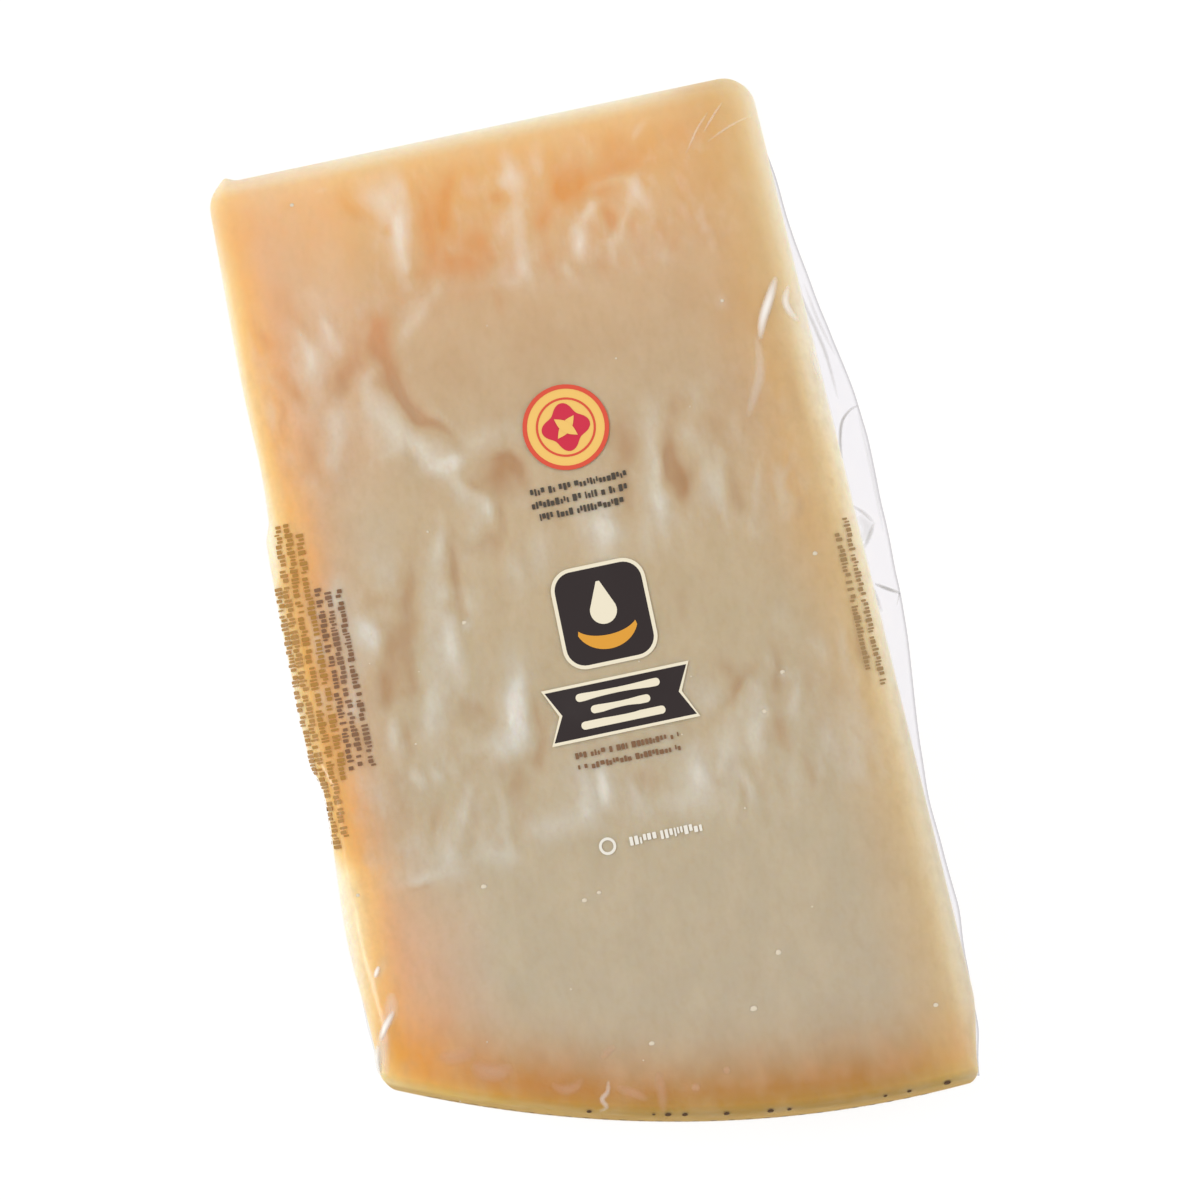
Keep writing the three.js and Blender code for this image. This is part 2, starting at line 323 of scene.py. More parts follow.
# Ridges (rise above 0) and hollows: middle X and Y, half length, half width, rise, turn from +Y if any.
crags = {
    "tip": [
        (-23, 90, 9.2, 1.9, 1, -5), (-28, 99.5, 4.5, 2.4, 0.6, 8), (-23, 91.5, 2.2, 0.9, 0.5),
        (-23.6, 85.5, 2.6, 1, 0.4), (-23, 81, 1.6, 0.7, 0.4), (-22.5, 98.5, 2.8, 1.2, 0.4),
        (-37.4, 101.6, 1, 0.5, 0.6, 70), (-32, 96.5, 3.8, 1, -0.7, 38), (-17, 84.5, 5.5, 3.6, -0.85),
        (-17, 91, 5, 1.6, -0.6, -8), (-13.5, 94, 4, 1.6, -0.3, -20), (-11.5, 96, 3.2, 1, -1.1, -25),
        (-15, 89, 3, 0.9, -0.6), (-13, 84.5, 2, 0.6, 0.6, 32), (-9.5, 82, 2.6, 0.7, 0.4, 48),
        (-18, 101, 1.8, 0.6, 0.5, 6), (-15.5, 101, 2.4, 0.5, 0.5, 10), (-18, 76.5, 2.2, 1.3, 0.7, -8),
        (-8, 85, 2, 1.6, -0.7), (-18, 96, 4.5, 1.3, -0.8), (-2, 92.6, 1, 1.7, -1.1),
        (-6.5, 71.5, 3.2, 0.7, -0.4, 12), (-11, 73.4, 0.8, 4.2, -0.2), (-8.8, 95, 3.2, 2, 0.9),
        (-11, 82, 2, 2.6, -0.9), (-5.5, 80.5, 2.2, 1.7, -0.8), (-15.8, 87.5, 3.5, 1, 0.7),
        (-17.5, 98, 3, 0.8, 0.4, 10), (-23, 95.5, 1.8, 0.9, -0.8), (-24.8, 90.5, 1.2, 0.8, -0.8),
        (-9, 93.5, 3, 1.5, -0.7), (-21, 88.5, 3, 1, 0.3), (-21.5, 79.5, 1.2, 4, -0.4),
        (-23, 76, 1, 2.6, -0.35), (-13, 79, 2, 6, -0.3), (-7, 86, 3, 2, -0.3), (-25.5, 97, 3.5, 2.2, 0.45),
    ],
    "rindSide": [
        (-47.2, 69.5, 5.6, 1.2, 1, 10), (-46.5, 67, 2, 0.7, 0.4, -18), (-42, 72.5, 2.8, 0.8, 0.9, 4),
        (-40, 67.4, 2, 0.8, 0.6, 20), (-42, 79.6, 1.4, 3.6, 0.3), (-37.8, 72.2, 2.6, 0.9, -0.3, 12),
        (-40, 62, 4.2, 1.7, -1.5, -42), (-31.6, 69, 4.4, 1.9, -1.2), (-31, 59.5, 4, 0.9, -1.2, 16),
        (-27.6, 52.2, 3.4, 0.9, -0.9, 36), (-24, 48.5, 3.4, 0.8, -0.6, 35), (-52, 62.5, 3.8, 1.1, -0.8, 28),
        (-55.5, 73.5, 3.2, 0.8, -0.8, 10), (-54.5, 55.5, 3.6, 0.8, -0.9), (-49.5, 48, 3, 1.5, -0.9),
        (-57.5, 71.5, 3.8, 0.8, 0.5), (-56.5, 56.5, 3.2, 0.9, 0.7), (-54.2, 67.8, 1.6, 1.6, 0.6),
        (-43.2, 53.8, 4.4, 1.9, 0.8, -10), (-45.6, 46.6, 3, 1.4, 0.7), (-48.5, 57, 2, 1.4, 0.5),
        (-22, 72.5, 3.2, 1.1, 0.5, -32), (-25.5, 69, 3.2, 1, 0.4, -18), (-49, 79, 3, 2.4, -0.5),
        (-47, 73.5, 3, 0.8, -0.9, 15), (-29, 61, 2.4, 1, -0.3, 10), (-50.2, 63, 2.6, 0.9, -0.7, 10),
        (-58, 69, 4, 0.8, 0.5), (-57.2, 56.5, 2.5, 0.9, 0.4), (-44.5, 68.5, 3, 1, 0.3),
    ],
    "longCrest": [
        (-35, 62.5, 2.6, 1.6, 0.8), (-34.8, 54.5, 7.4, 2.3, 0.9, 24), (-30, 47.5, 3.8, 1.6, 0.5, 25),
        (-26.4, 42, 5, 1.5, 1.1, 38), (-22.2, 39.6, 1.6, 1.3, 0.7), (-21, 34.5, 2.2, 1, 0.6, 10),
        (-17.6, 29.5, 3.2, 1.4, 1.1, 24), (-13.9, 36.4, 2.8, 1.7, -1, -30),
        (-10.5, 37.5, 2.4, 1.5, -0.8, 20), (-12, 33.2, 1.8, 2.2, -0.5), (-14, 43, 1.8, 4.4, 0.8),
        (-14.2, 26, 3, 0.9, -0.8, -4), (-19, 22.8, 1.6, 1.5, -0.6), (-27.5, 35.5, 2.4, 1.5, -0.3),
        (-40, 28, 6, 4.5, 0.3), (-22.8, 49.6, 2.8, 0.5, 0.6, 38), (-21.4, 40.4, 1.2, 1, 0.5),
        (-38.5, 57, 3.5, 1.5, -0.3), (-33.5, 59.5, 3, 1, -0.5, 30), (-29.2, 55.5, 3, 0.9, -0.8, 30),
        (-26.5, 51.5, 1.6, 1, -0.6), (-40.5, 57, 1.2, 2.4, -0.4), (-36, 51.5, 4, 1.6, 0.2, 22),
        (-21.6, 44.5, 2, 0.8, -0.3, 30), (-30, 44, 2, 1.2, -0.7), (-22, 40, 0.9, 2.2, 1),
        (-18.3, 34, 2.4, 0.9, -1, 20), (-12.5, 40, 0.9, 1.8, -0.6), (-9, 37, 3, 1, -0.8, 15),
        (-17, 28.5, 1.8, 0.8, 0.7),
    ],
    "tipCut": [
        (1.5, 96, 3, 1.6, 1, 5), (0.5, 100, 3, 1.2, 0.4, 10), (7.8, 97, 4, 1.7, 0.9, 4),
        (17.5, 98.5, 2.8, 0.7, 0.8, 15), (29, 100.5, 2.6, 0.7, 0.8, -48), (13.2, 92, 3, 2.2, -1.3, -30),
        (23, 93, 2.2, 5.5, -0.8, 6), (1.2, 85, 5, 1.6, 0.85, 3), (0.5, 76, 2.2, 1.2, 0.9),
        (-3.2, 73.8, 1, 2.5, 0.4), (-3.5, 84, 3, 1.4, 0.5), (6.6, 86, 2.2, 1.3, -1),
        (5.5, 77.5, 3, 0.9, -0.6, 8), (12.5, 79.5, 3.2, 1, 1.1, -4), (17, 87, 1.6, 1.2, 0.6),
        (15, 85, 2.4, 1, 0.8, -60), (19.6, 83.2, 2, 1.2, -1.7), (26.6, 88, 2.6, 1.1, 1, 24),
        (21.8, 90.4, 0.8, 2.8, 0.5), (22.3, 80.5, 2.6, 0.7, 0.7, -25), (18.5, 78.4, 1.3, 1.5, 0.6),
        (25, 83.5, 2.2, 0.8, -0.5), (28.5, 85, 2, 0.9, 0.5), (8.2, 74.2, 1.6, 1.1, 0.6),
        (29.8, 78, 2.6, 1.2, -0.5, 15), (32.5, 76, 2.2, 0.6, -0.4, -20), (35.2, 82, 2.6, 0.8, 0.5, 10),
        (38.2, 73.2, 1.8, 0.7, 0.3), (38.4, 61, 1.2, 1, 0.5), (10.2, 82.5, 1.8, 0.8, -0.4),
        (38, 97.5, 3, 2.5, -0.5, -30), (24, 99, 2, 1.6, -0.5), (2.6, 83, 2.8, 1.2, -0.3),
        (10.2, 90.5, 2, 1.6, -0.4), (30.5, 94, 1.6, 3.2, 0.4), (18.7, 99, 1.6, 0.9, -0.6),
        (13, 84.6, 1.4, 1.4, -0.9), (19, 88.6, 1, 2.8, -0.7), (28.4, 86.5, 2, 0.9, -0.5, 10),
        (24.6, 86.5, 2.4, 1, 0.6), (17.8, 83.6, 1.2, 1.4, 0.5), (13.8, 77, 2.4, 0.8, 0.3, 20),
        (-3.8, 77.3, 1.6, 1.6, 0.5), (35.2, 86, 2, 0.7, -0.4), (24, 80.5, 1.4, 0.8, -0.4),
        (8, 83, 3, 3, 0.3), (13, 95, 3, 3.4, -0.5), (6.5, 93.5, 3, 2, -0.4), (25, 96, 2.5, 3, -0.4),
        (11, 73.5, 2.2, 5, -0.35), (22, 74.5, 2, 4, -0.2),
    ],
    "middle": [
        (13, 36.6, 4, 2.2, -0.75), (17.5, 31.5, 3.8, 1, 1.1), (19, 40, 3.8, 1.2, 0.6, -8),
        (17, 22.5, 4.6, 2.2, 0.7, 5), (22, 29, 5.2, 1.4, -1.5, 4), (26, 43.4, 1.4, 1.8, -0.5),
        (28.5, 42.8, 2.6, 1, 0.8), (26, 35, 3.2, 1.5, 0.6, 28), (29, 25, 4.2, 1.8, 0.9, 14),
        (30.5, 38, 4, 2.4, -0.5), (32.5, 28.5, 3.6, 0.5, 0.4, 40), (32.8, 22.5, 3.6, 1, -0.7),
        (36, 20, 3.6, 0.6, 0.6, -18), (38.5, 26, 3, 0.6, 0.4, -20), (35.5, 14.5, 2, 1.1, 0.4),
        (41, 20, 3.6, 0.8, 0.5, -8), (43.2, 22.8, 1.8, 0.7, 0.3, -30), (43.8, 17.4, 1.6, 0.8, -0.4),
        (49.5, 38.5, 7.2, 0.9, -0.6), (22.5, 43, 1.6, 1, 0.5), (13.4, 17.2, 2.6, 1.4, 0.5),
        (4, 19.5, 5, 2.2, 1.1, 5), (5, 21, 2.4, 1.1, 0.6), (-3, 21.5, 3, 1.2, -0.8, 14),
        (17.5, 2, 3, 0.8, -0.3), (36, -4.5, 3, 1.5, 0.3), (39, 38, 6, 2.5, -0.4),
        (19.6, 29, 3.6, 0.9, -1.1, -15), (22.6, 20, 2.4, 0.8, 0.4), (18, 24, 2.4, 1.2, 1.3),
        (23.6, 40.5, 1.8, 0.9, -0.7), (25.5, 28, 1.6, 1.2, -0.4), (31, 25.5, 3, 0.9, 0.4),
        (33.3, 19.5, 2.4, 0.7, -0.5, -10), (6.4, 20.8, 2.2, 0.9, 1), (3.4, 22, 2, 1, -0.5),
        (-3, 21, 2, 1, 0.7), (11, 26, 2.6, 2, -0.4), (22.5, 25.5, 2, 1.2, -0.3),
    ],
    "rindColumn": [
        (-28, 24.5, 4, 0.9, 1, -14), (-29, 14.5, 3, 0.9, 1.1, -5), (-29.3, 5.5, 5, 1.1, 1.3, -6),
        (-26.5, 17.5, 6, 1, -1, -5), (-32.5, 10, 6.4, 1.5, 0.6, -10), (-36, 14, 5.4, 1.2, -0.9, -10),
        (-42, 4.5, 4.6, 1.8, -0.9, -12), (-44, -1, 2.4, 1.6, -0.9), (-45.5, 9, 3.2, 1.3, 1.8, 10),
        (-50, 18.6, 1.8, 1.2, 0.9), (-40, 18, 4.5, 2, 0.5), (-42.5, -6, 3.6, 1.5, 0.3),
        (-41.4, -12, 3, 0.9, -0.8, 10), (-35, -6.5, 4.6, 1.5, 0.9, -15), (-30, -8.5, 3.2, 1.5, -0.7),
        (-26, 7.4, 0.8, 0.7, 0.9), (-56, 9, 2.4, 0.8, 0.9), (-57.5, -2, 2.4, 0.8, 0.9),
        (-50.8, -4, 2.4, 0.9, 0.9), (-54.5, 14.5, 3.6, 0.7, -0.6), (-54, 4, 3, 0.7, -0.6),
        (-57.5, -9, 3, 0.8, -0.6), (-14, 15.5, 4, 1.4, 0.6), (-8, 18.5, 3, 1.5, 0.7),
        (-19, -11.8, 5.4, 1.8, 2.4, -10), (-44.5, -4.5, 3, 1, -0.5), (-35.5, -10, 3.2, 1.5, 0.3, -15),
        (-29, 0, 4, 1, 0.4), (-41.2, -20.4, 1.6, 0.8, 1), (-37.6, -21.2, 1.6, 0.8, 0.8),
        (-24.8, -17.8, 2.2, 2.8, 0.9), (-21.5, -24.5, 3.8, 1.3, -0.8, -14), (-50, 9, 8, 2.8, 0.6),
        (-16.5, -20.5, 2.4, 1, -0.7), (-32.5, -28, 4.2, 0.8, 0.8, -25), (-36, -31, 3.6, 0.7, 0.4, -25),
        (-39.5, -30, 3.6, 0.8, -0.6, -25), (-41, -35, 2, 2.6, 0.5), (-38, 1, 4, 1.4, -0.6),
        (-26, -31, 5.2, 0.9, 0.5), (-27.8, -38.4, 1.8, 2.4, 0.7), (-16, -35.5, 2.2, 5.2, 0.8),
        (-10, -33.5, 2, 0.9, 0.8, 10), (-5.2, -30.5, 3, 1.4, 0.5), (-24, -35.5, 2.4, 1, -0.5),
        (-42.2, -39.4, 1.2, 5, 0.8), (-44.6, -40.2, 0.6, 1.7, 0.5), (-38, -36.5, 2, 0.9, 0.6),
        (-20.5, 25.5, 2.2, 1.1, 0.7, 5), (-25, 11.5, 2.2, 1.2, 0.8), (-51, -11.5, 3, 1.6, -0.6),
        (-47, -36.5, 2.8, 0.3, -0.5), (-56, -55.8, 1.4, 0.6, 0.8, -20), (-17.2, -13, 4, 0.9, -0.7, -8),
        (-16.7, 22, 2.6, 1, -0.7), (-42, 16, 1.4, 2.2, -0.8), (-28.8, 12.3, 1.8, 1, -1),
        (-28.7, 18.5, 1.4, 1.2, -0.5), (-38, -2.8, 1, 2.6, -0.4), (-43.9, -11.3, 3, 1, 1.2),
        (-27, -9.5, 1.2, 1, -0.5), (-15.6, -13, 4, 0.9, -0.8), (-27, -18.6, 1, 1.4, -0.8),
        (-30.5, -13.5, 2.4, 1.4, 0.35), (-45, -40.8, 0.5, 2, -0.8), (-30, -33, 3.4, 0.9, 0.5),
        (-9.2, -29, 3, 1.2, 0.9, 5), (-4.6, -28.5, 2.6, 0.9, 1.1),
    ],
    "lower": [
        (23.5, -16.5, 4.4, 0.9, -1, -50), (23, -12.5, 2.2, 1.7, -0.5), (28, -17, 2.4, 1.4, 0.6),
        (33, -12, 2.6, 1.2, -0.6), (32.4, -15.8, 1.2, 0.9, -0.6), (34, -15.2, 0.8, 0.8, 1.1),
        (28.8, -22, 0.8, 0.8, 1.1), (35.4, -20.5, 3.4, 1, 0.9, -8), (41.5, -12, 2.4, 1, 0.6, 10),
        (46.5, -13, 3, 0.9, 0.6), (47.5, -19.5, 3, 0.8, 0.4), (50, -15, 5, 0.9, -1),
        (26.2, -26.5, 3.6, 1.3, 1.2, 5), (20, -28, 4.2, 1.8, 0.9, -14), (17, -31.5, 3, 0.7, -0.4),
        (24, -32.5, 2.6, 0.7, -0.4), (17.5, -36, 3, 0.9, 0.6), (22.5, -35, 3.6, 0.8, 0.6, 14),
        (30.5, -35, 3.6, 0.9, 0.6, 4), (27.5, -34.5, 2.8, 0.8, -0.4), (31.5, -26, 4, 1.5, -0.8),
        (36, -35.5, 2.4, 0.7, -0.4, 20), (39.5, -30, 3.4, 0.9, 0.6), (43, -35, 3.4, 1, 0.7),
        (47, -29, 5.4, 2.6, 0.6), (13, -31, 3.8, 1.5, 1.4), (8, -35, 1.8, 3.5, 0.7, -10),
        (-5, -31, 3.4, 1.4, 0.6), (2.5, -30, 3, 0.9, -0.6), (5, -31, 2.4, 0.8, -0.5),
        (38, -16, 3.6, 1.2, -0.4), (18, -16.5, 3, 1.4, 0.6), (1.3, -33, 3, 1.2, 0.8), (-5, -35, 2, 1, -0.6),
        (22, -17.5, 2, 0.9, 0.3, -35), (19, -33, 3.4, 0.8, -0.5, -20), (31.3, -11.5, 1.6, 0.9, 0.7),
        (36.3, -18.5, 1.6, 0.9, -0.5),
    ],
}
highestCrag = 0.5  # the film presses the rest down

# Rows of small teeth where the cheese tore along a band's border.
fringes = [
    {"y": 74, "left": -4, "right": 46, "spacing": 4.2, "half": 3.2, "rise": 0.12},
    {"y": 18, "left": 14, "right": 50, "spacing": 4.1, "half": 4.0, "rise": 0.2},
    {"y": -36, "left": 18, "right": 52, "spacing": 4.4, "half": 5.0, "rise": 0.25},
    {"y": 72, "left": -52, "right": -30, "spacing": 4.0, "half": 4.0, "rise": 0.12},
]
fringeJitter = {"size": 9, "reach": 1.2, "seed": 8, "border": 3}


def brokenFace(x, y):
    wander = bands["wander"]
    shift = wander["reach"] * swell(x, y, wander["size"], seed=wander["seed"])
    depth = 0 * x
    for left, right, low, high, deep in bands["boxes"]:
        across = within(x + shift, left, right, bands["border"])
        depth = np.maximum(depth, deep * (across * within(y + shift, low, high, bands["border"])))
    loose = 0 * x
    for layer in (bands["crumble"], bands["grit"]):
        loose += layer["share"] * swell(x, y, layer["size"], layer["stretch"], layer["seed"])
    tone = 0 * x
    warp, halo = bands["warp"], bands["halo"]
    plainX = x
    x = x + warp["reach"] * swell(x, y, warp["size"], seed=warp["seeds"][0])
    y = y + warp["reach"] * swell(plainX, y, warp["size"], seed=warp["seeds"][1])
    for region in crags.values():
        for middleX, middleY, halfLength, halfWidth, rise, *turn in region:
            angle = math.radians(sum(turn))  # turn is empty or one angle
            along = (y - middleY) * math.cos(angle) - (x - middleX) * math.sin(angle)
            across = (x - middleX) * math.cos(angle) + (y - middleY) * math.sin(angle)
            apart = (along / halfLength) ** 2 + (across / halfWidth) ** 2
            tone += rise * ((1 - halo["share"]) * np.exp(-apart / bands["core"])
                            + halo["share"] * np.exp(-apart / halo["reach"] ** 2))
    jitter = fringeJitter["reach"] * swell(x, y, fringeJitter["size"], seed=fringeJitter["seed"])
    for fringe in fringes:
        phase = 2 * np.pi * (x + jitter) / fringe["spacing"]
        reach = np.exp(-(((y - fringe["y"]) / fringe["half"]) ** 2))
        reach *= within(x, fringe["left"], fringe["right"], fringeJitter["border"])
        tone += fringe["rise"] * np.sin(phase) * reach
    height = np.minimum(depth * (loose - 1) + bands["cragShare"] * tone, highestCrag)
    return {"height": height, "tone": tone + bands["looseTone"] * depth * loose, "depth": depth}


# Film stretched over the relief
film = {
    "pull": 0.16,  # how hard the vacuum draws it into a hollow, per mm
    "rounds": 500,
    "gridStep": 0.5,
    "gridReach": (68, 113),  # mm from the middle, along X and Y
    "thickness": 0.08,
}


def stretchFilm(height):
    stretched = height.copy()
    pull = film["pull"] * film["gridStep"] ** 2 / 4
    for _ in range(film["rounds"]):
        around = (np.roll(stretched, 1, 0) + np.roll(stretched, -1, 0)
                  + np.roll(stretched, 1, 1) + np.roll(stretched, -1, 1)) / 4
        stretched = np.maximum(height, around - pull)
    return stretched


gridX, gridY = (np.arange(-reach, reach + 0.1, film["gridStep"]) for reach in film["gridReach"])
gridPlaces = np.meshgrid(gridX, gridY, indexing="ij")


def sample(grid, x, y):
    u = np.clip((x - gridX[0]) / film["gridStep"], 0, len(gridX) - 1.001)
    v = np.clip((y - gridY[0]) / film["gridStep"], 0, len(gridY) - 1.001)
    i, j = u.astype(int), v.astype(int)
    a, b = u - i, v - j
    return (grid[i, j] * (1 - a) * (1 - b) + grid[i + 1, j] * a * (1 - b)
            + grid[i, j + 1] * (1 - a) * b + grid[i + 1, j + 1] * a * b)


relief = brokenFace(*gridPlaces)
stretchedFilm = stretchFilm(relief["height"])
body = wedgeSkin()
print("skin and relief ready", len(body["points"]))

hiddenShiftY = -12.0
unevenness = {"size": 26.0, "stretch": 1.3, "height": 0.25, "seed": 2}


def onCutFaces(grid):
    # a grid's values on the upper cut face and, turned end for end, on the hidden one
    x, y = body["points"][:, 0], body["points"][:, 1]
    onFront, onBack = body["unit"][:, 2] == 1, body["unit"][:, 2] == 0
    return sample(grid, x, y) * onFront, sample(grid, -x, hiddenShiftY - y) * onBack


def skinHeight(grid, lift):
    # height over the plain wedge: the grid's relief on the two cut faces, and lift everywhere
    x, y = body["points"][:, 0], body["points"][:, 1]
    front, back = onCutFaces(grid)
    uneven = unevenness["height"] * swell(x, y, unevenness["size"], unevenness["stretch"], unevenness["seed"])
    height = front + uneven * (body["unit"][:, 2] == 1) + np.minimum(back, 0)
    return body["open"] * height + lift


# Colours and finishes of the cheese
paste = {
    "grainScale": (1, 0.55, 0.7),  # draws the noises out along the wedge
    # along the wedge from the tip, mm from it: thin cheese lets warm light through
    "alongLength": 220.0,
    "along": [
        (0, "FFF6E4"), (1, "F8E8C8"), (2.5, "F1D3A4"), (4.5, "EDC186"), (9, "E8B677"), (33, "D3B18B"),
        (48, "C9AB88"), (63, "C6AF90"), (85, "C6B192"), (108, "C1B093"), (155, "BFB29A"), (220, "BCAE9A")],
    # hues along the wedge from the tip, laid on by the relief's tone: painted shade in the hollows over the
    # deeper orange of the paste there, paler crumbs with painted highlights on the ridges, painted glints on
    # the crests
    "hollows": [
        (0, "ECA85A"), (22, "DE9E5E"), (36, "D2986A"), (50, "BE9068"), (80, "B28C66"), (220, "B08E68")],
    "paleAndLitRidges": [
        (0, "F3E7D9"), (30, "EBE0D4"), (50, "E0D7C9"), (75, "D6D2C6"), (100, "D6D4CC"), (220, "D2D0C8")],
    "crestGlints": [(0, "F6F0E9"), (30, "F0EAE4"), (60, "E2DCD0"), (100, "E4E1DC"), (220, "E2DFD8")],
    "hollowsByRind": {"hue": "E6A262", "fades": (16, 7, 0, 0.85)},
    # from the flat rind face and from the cut face inwards, paler and warmer towards each edge: painted glow
    # of light through the thin edges; distance, colour, how much of it
    "gradientReach": 30.0,
    "rindEdgeGlow": [
        (0, "FEF5E0", 1), (1.5, "FAE8B8", 1), (3, "F7D590", 1), (4.5, "F4C47C", 1), (6, "F2C07E", 0.95),
        (8, "EAB67F", 0.85), (11, "DFAE84", 0.6), (15, "D5AC88", 0.35), (20, "CCAA8B", 0.12),
        (26, "C9AA8C", 0)],
    "cutEdgeGlow": [
        (0, "F6F0DE", 1), (1.5, "F4E6C6", 1), (3.5, "E8D0A2", 0.9), (6, "DBBC88", 0.75),
        (11, "D2AF7E", 0.45), (18, "CCAC84", 0)],
    "cutEdgeGlowFades": [(8, 60, 0.85, 1), (120, 165, 1, 0.75)],  # along the wedge from the tip
    # washes over a distance, fading in between two distances along another, and out between two more: mostly
    # painted glow and sheen of light near the thin edges, with the paste's own tints
    "washes": [
        {"over": "fromRind", "along": "fromTip", "fades": (100, 70), "stops": [
            (0, "F6D894", 0.2), (2, "F2B662", 0.45), (5, "EDA95C", 0.4), (10, "E8A462", 0)]},
        {"over": "fromRind", "along": "fromTip", "fades": (125, 150), "stops": [
            (0, "FBF2DA", 0.9), (2.5, "F8E2B4", 0.5), (6, "F0C890", 0)]},
        {"over": "fromTip", "along": "fromRind", "fades": (52, 20), "stops": [
            (0, "F8EED8", 0.8), (2, "F6E2BC", 0.8), (4, "F3CE96", 0.6), (8, "EFBC7C", 0.55),
            (14, "EAB070", 0.3), (22, "E6A868", 0)]},
        {"over": "fromRind", "along": "fromTip", "fades": (76, 84), "until": (136, 144), "stops": [
            (0, "F4DCAC", 0.5), (2, "ECBA6C", 0.7), (5, "EBAC58", 0.7), (9, "E8A458", 0.3),
            (13, "E5A060", 0)]},
        {"over": "fromRind", "along": "fromHeel", "fades": (10, 3), "stops": [
            (0, "F4DFA4", 0.85), (4, "EFCF88", 0.6), (8, "E8B45C", 0.2), (12, "E0A048", 0)]},
        {"over": "fromCut", "along": "fromTip", "fades": (115, 85), "stops": [
            (0, "F2E8CC", 0), (5, "DDAC68", 0.05), (10, "DDAC68", 0.4), (17, "D8A870", 0.25),
            (26, "D0A878", 0)]},
        {"over": "fromRind", "along": "fromTip", "fades": (76, 60), "stops": [
            (0, "FCD8AC", 0), (4, "FCD2A8", 0.1), (9, "F9C8A8", 0.2), (24, "F9C8A8", 0.2),
            (30, "F4C8A4", 0)]},
        {"over": "fromCut", "along": "fromTip", "fades": (112, 140), "stops": [
            (0, "CFC9B8", 0.6), (1.5, "D4CAB2", 0.5), (4, "D2C4A4", 0.15), (7, "D0B890", 0)]},
        {"over": "fromCut", "along": "fromTip", "fades": (45, 52), "until": (72, 82), "stops": [
            (0, "F4F0E6", 0.5), (3, "EFE6D2", 0.45), (5, "E4D2AE", 0.2), (8, "DCC49C", 0)]},
        {"over": "fromRind", "along": "fromTip", "fades": (146, 159), "until": (175, 187), "stops": [
            (6, "F0A884", 0), (9, "F0A884", 0.2), (15, "F0AC88", 0.27), (20, "E8B498", 0.25),
            (25, "DCBAA6", 0.22), (30, "D8BAA6", 0)]},
    ],
    # the heel's warm zone: hue along the heel from the flat rind face, and how much of it inwards
    "heelLength": 116.0,
    "heelHue": [
        (0, "E8A848"), (10, "E09C3C"), (20, "C88A3C"), (32, "BE8034"), (56, "B5803A"), (95, "B47E38"),
        (103, "BE8A3C"), (111, "D39B40"), (116, "D8A654")],
    "heelReach": 24.0,
    "heelAmount": [(0, 1.0), (5, 0.95), (7, 0.82), (9, 0.62), (12, 0.38), (16, 0.14), (22, 0.0)],
    "heelNarrows": (5, 45, 0.6, 1),  # from the flat rind face
    "heelPales": (92, 110, 1, 0.75),
    # the crust's olive edge, and its dark rim: painted shade where the heel's top edge turns away, over the
    # rind's darker skin
    "crustHue": [
        (0, "E8D08C"), (12, "DDB860"), (30, "C09A48"), (50, "B28F44"), (98, "B28F44"), (116, "CCAE60")],
    "crustAmount": [(0, 0.85), (1.5, 0.8), (3, 0.4), (5, 0.0)],
    "rimShadeHue": "7E5C24",
    "rimShadeAmount": [(0, 0.3), (0.5, 0.3), (1.4, 0.0)],
    "rimShadeGrows": (15, 50),
    "blush": {"noise": (5, 1, 8), "values": (0.42, 0.68), "low": (3, 6), "high": (16, 9), "most": 0.3,
              "hue": "D2A582"},
    # each noise: bump size in mm, detail and seed; then from value, to value, how much of which hue. The
    # crumb noises lay the ridge and hollow hues at random over the broken zones: painted highlights and
    # painted shade of small crumbs
    "crumbShading": [
        ((9, 2, 6), 0.5, 0.7, 0.15, "paleAndLitRidges"), ((9, 2, 6), 0.48, 0.32, 0.15, "hollows"),
        ((3.4, 4, 1), 0.5, 0.7, 0.25, "paleAndLitRidges"), ((4.2, 4, 2), 0.5, 0.3, 0.3, "hollows")],
    # the relief's tone: from, to, how much of which hue; painted highlights on ridges and crests, painted
    # shade in hollows
    "crags": [(0.05, 1.3, 0.8, "paleAndLitRidges"), (1.1, 2.2, 0.8, "crestGlints"), (-0.05, -1.1, 1, "hollows")],
    "clouds": ((6, 3, 3), 0.4, 0.65, 0.14, "E2D2B6"),
    "flecks": ((1.6, 3, 4), 0.45, 0.7, 0.14, "A98A62"),
    "grain": ((0.9, 2, 0), 0.3, 0.7, 0.1, "B79A74"),
    "fineFades": (20, 70, 0.4, 1),
    "bump": {"depth": 0.12, "strength": 0.5},
    "surface": {"Roughness": 0.6, "IOR": 1.45, "Specular IOR Level": 0.0,
                "Subsurface Weight": 0.6, "Subsurface Radius": (1.0, 0.6, 0.3)},
    "glowDepth": 3.0,  # how far light wanders in it, in mm
    "rind": {"hue": "C79C55", "mottle": "B58A48", "noise": (3.5, 4, 5), "values": (0.35, 0.65), "most": 0.8},
}


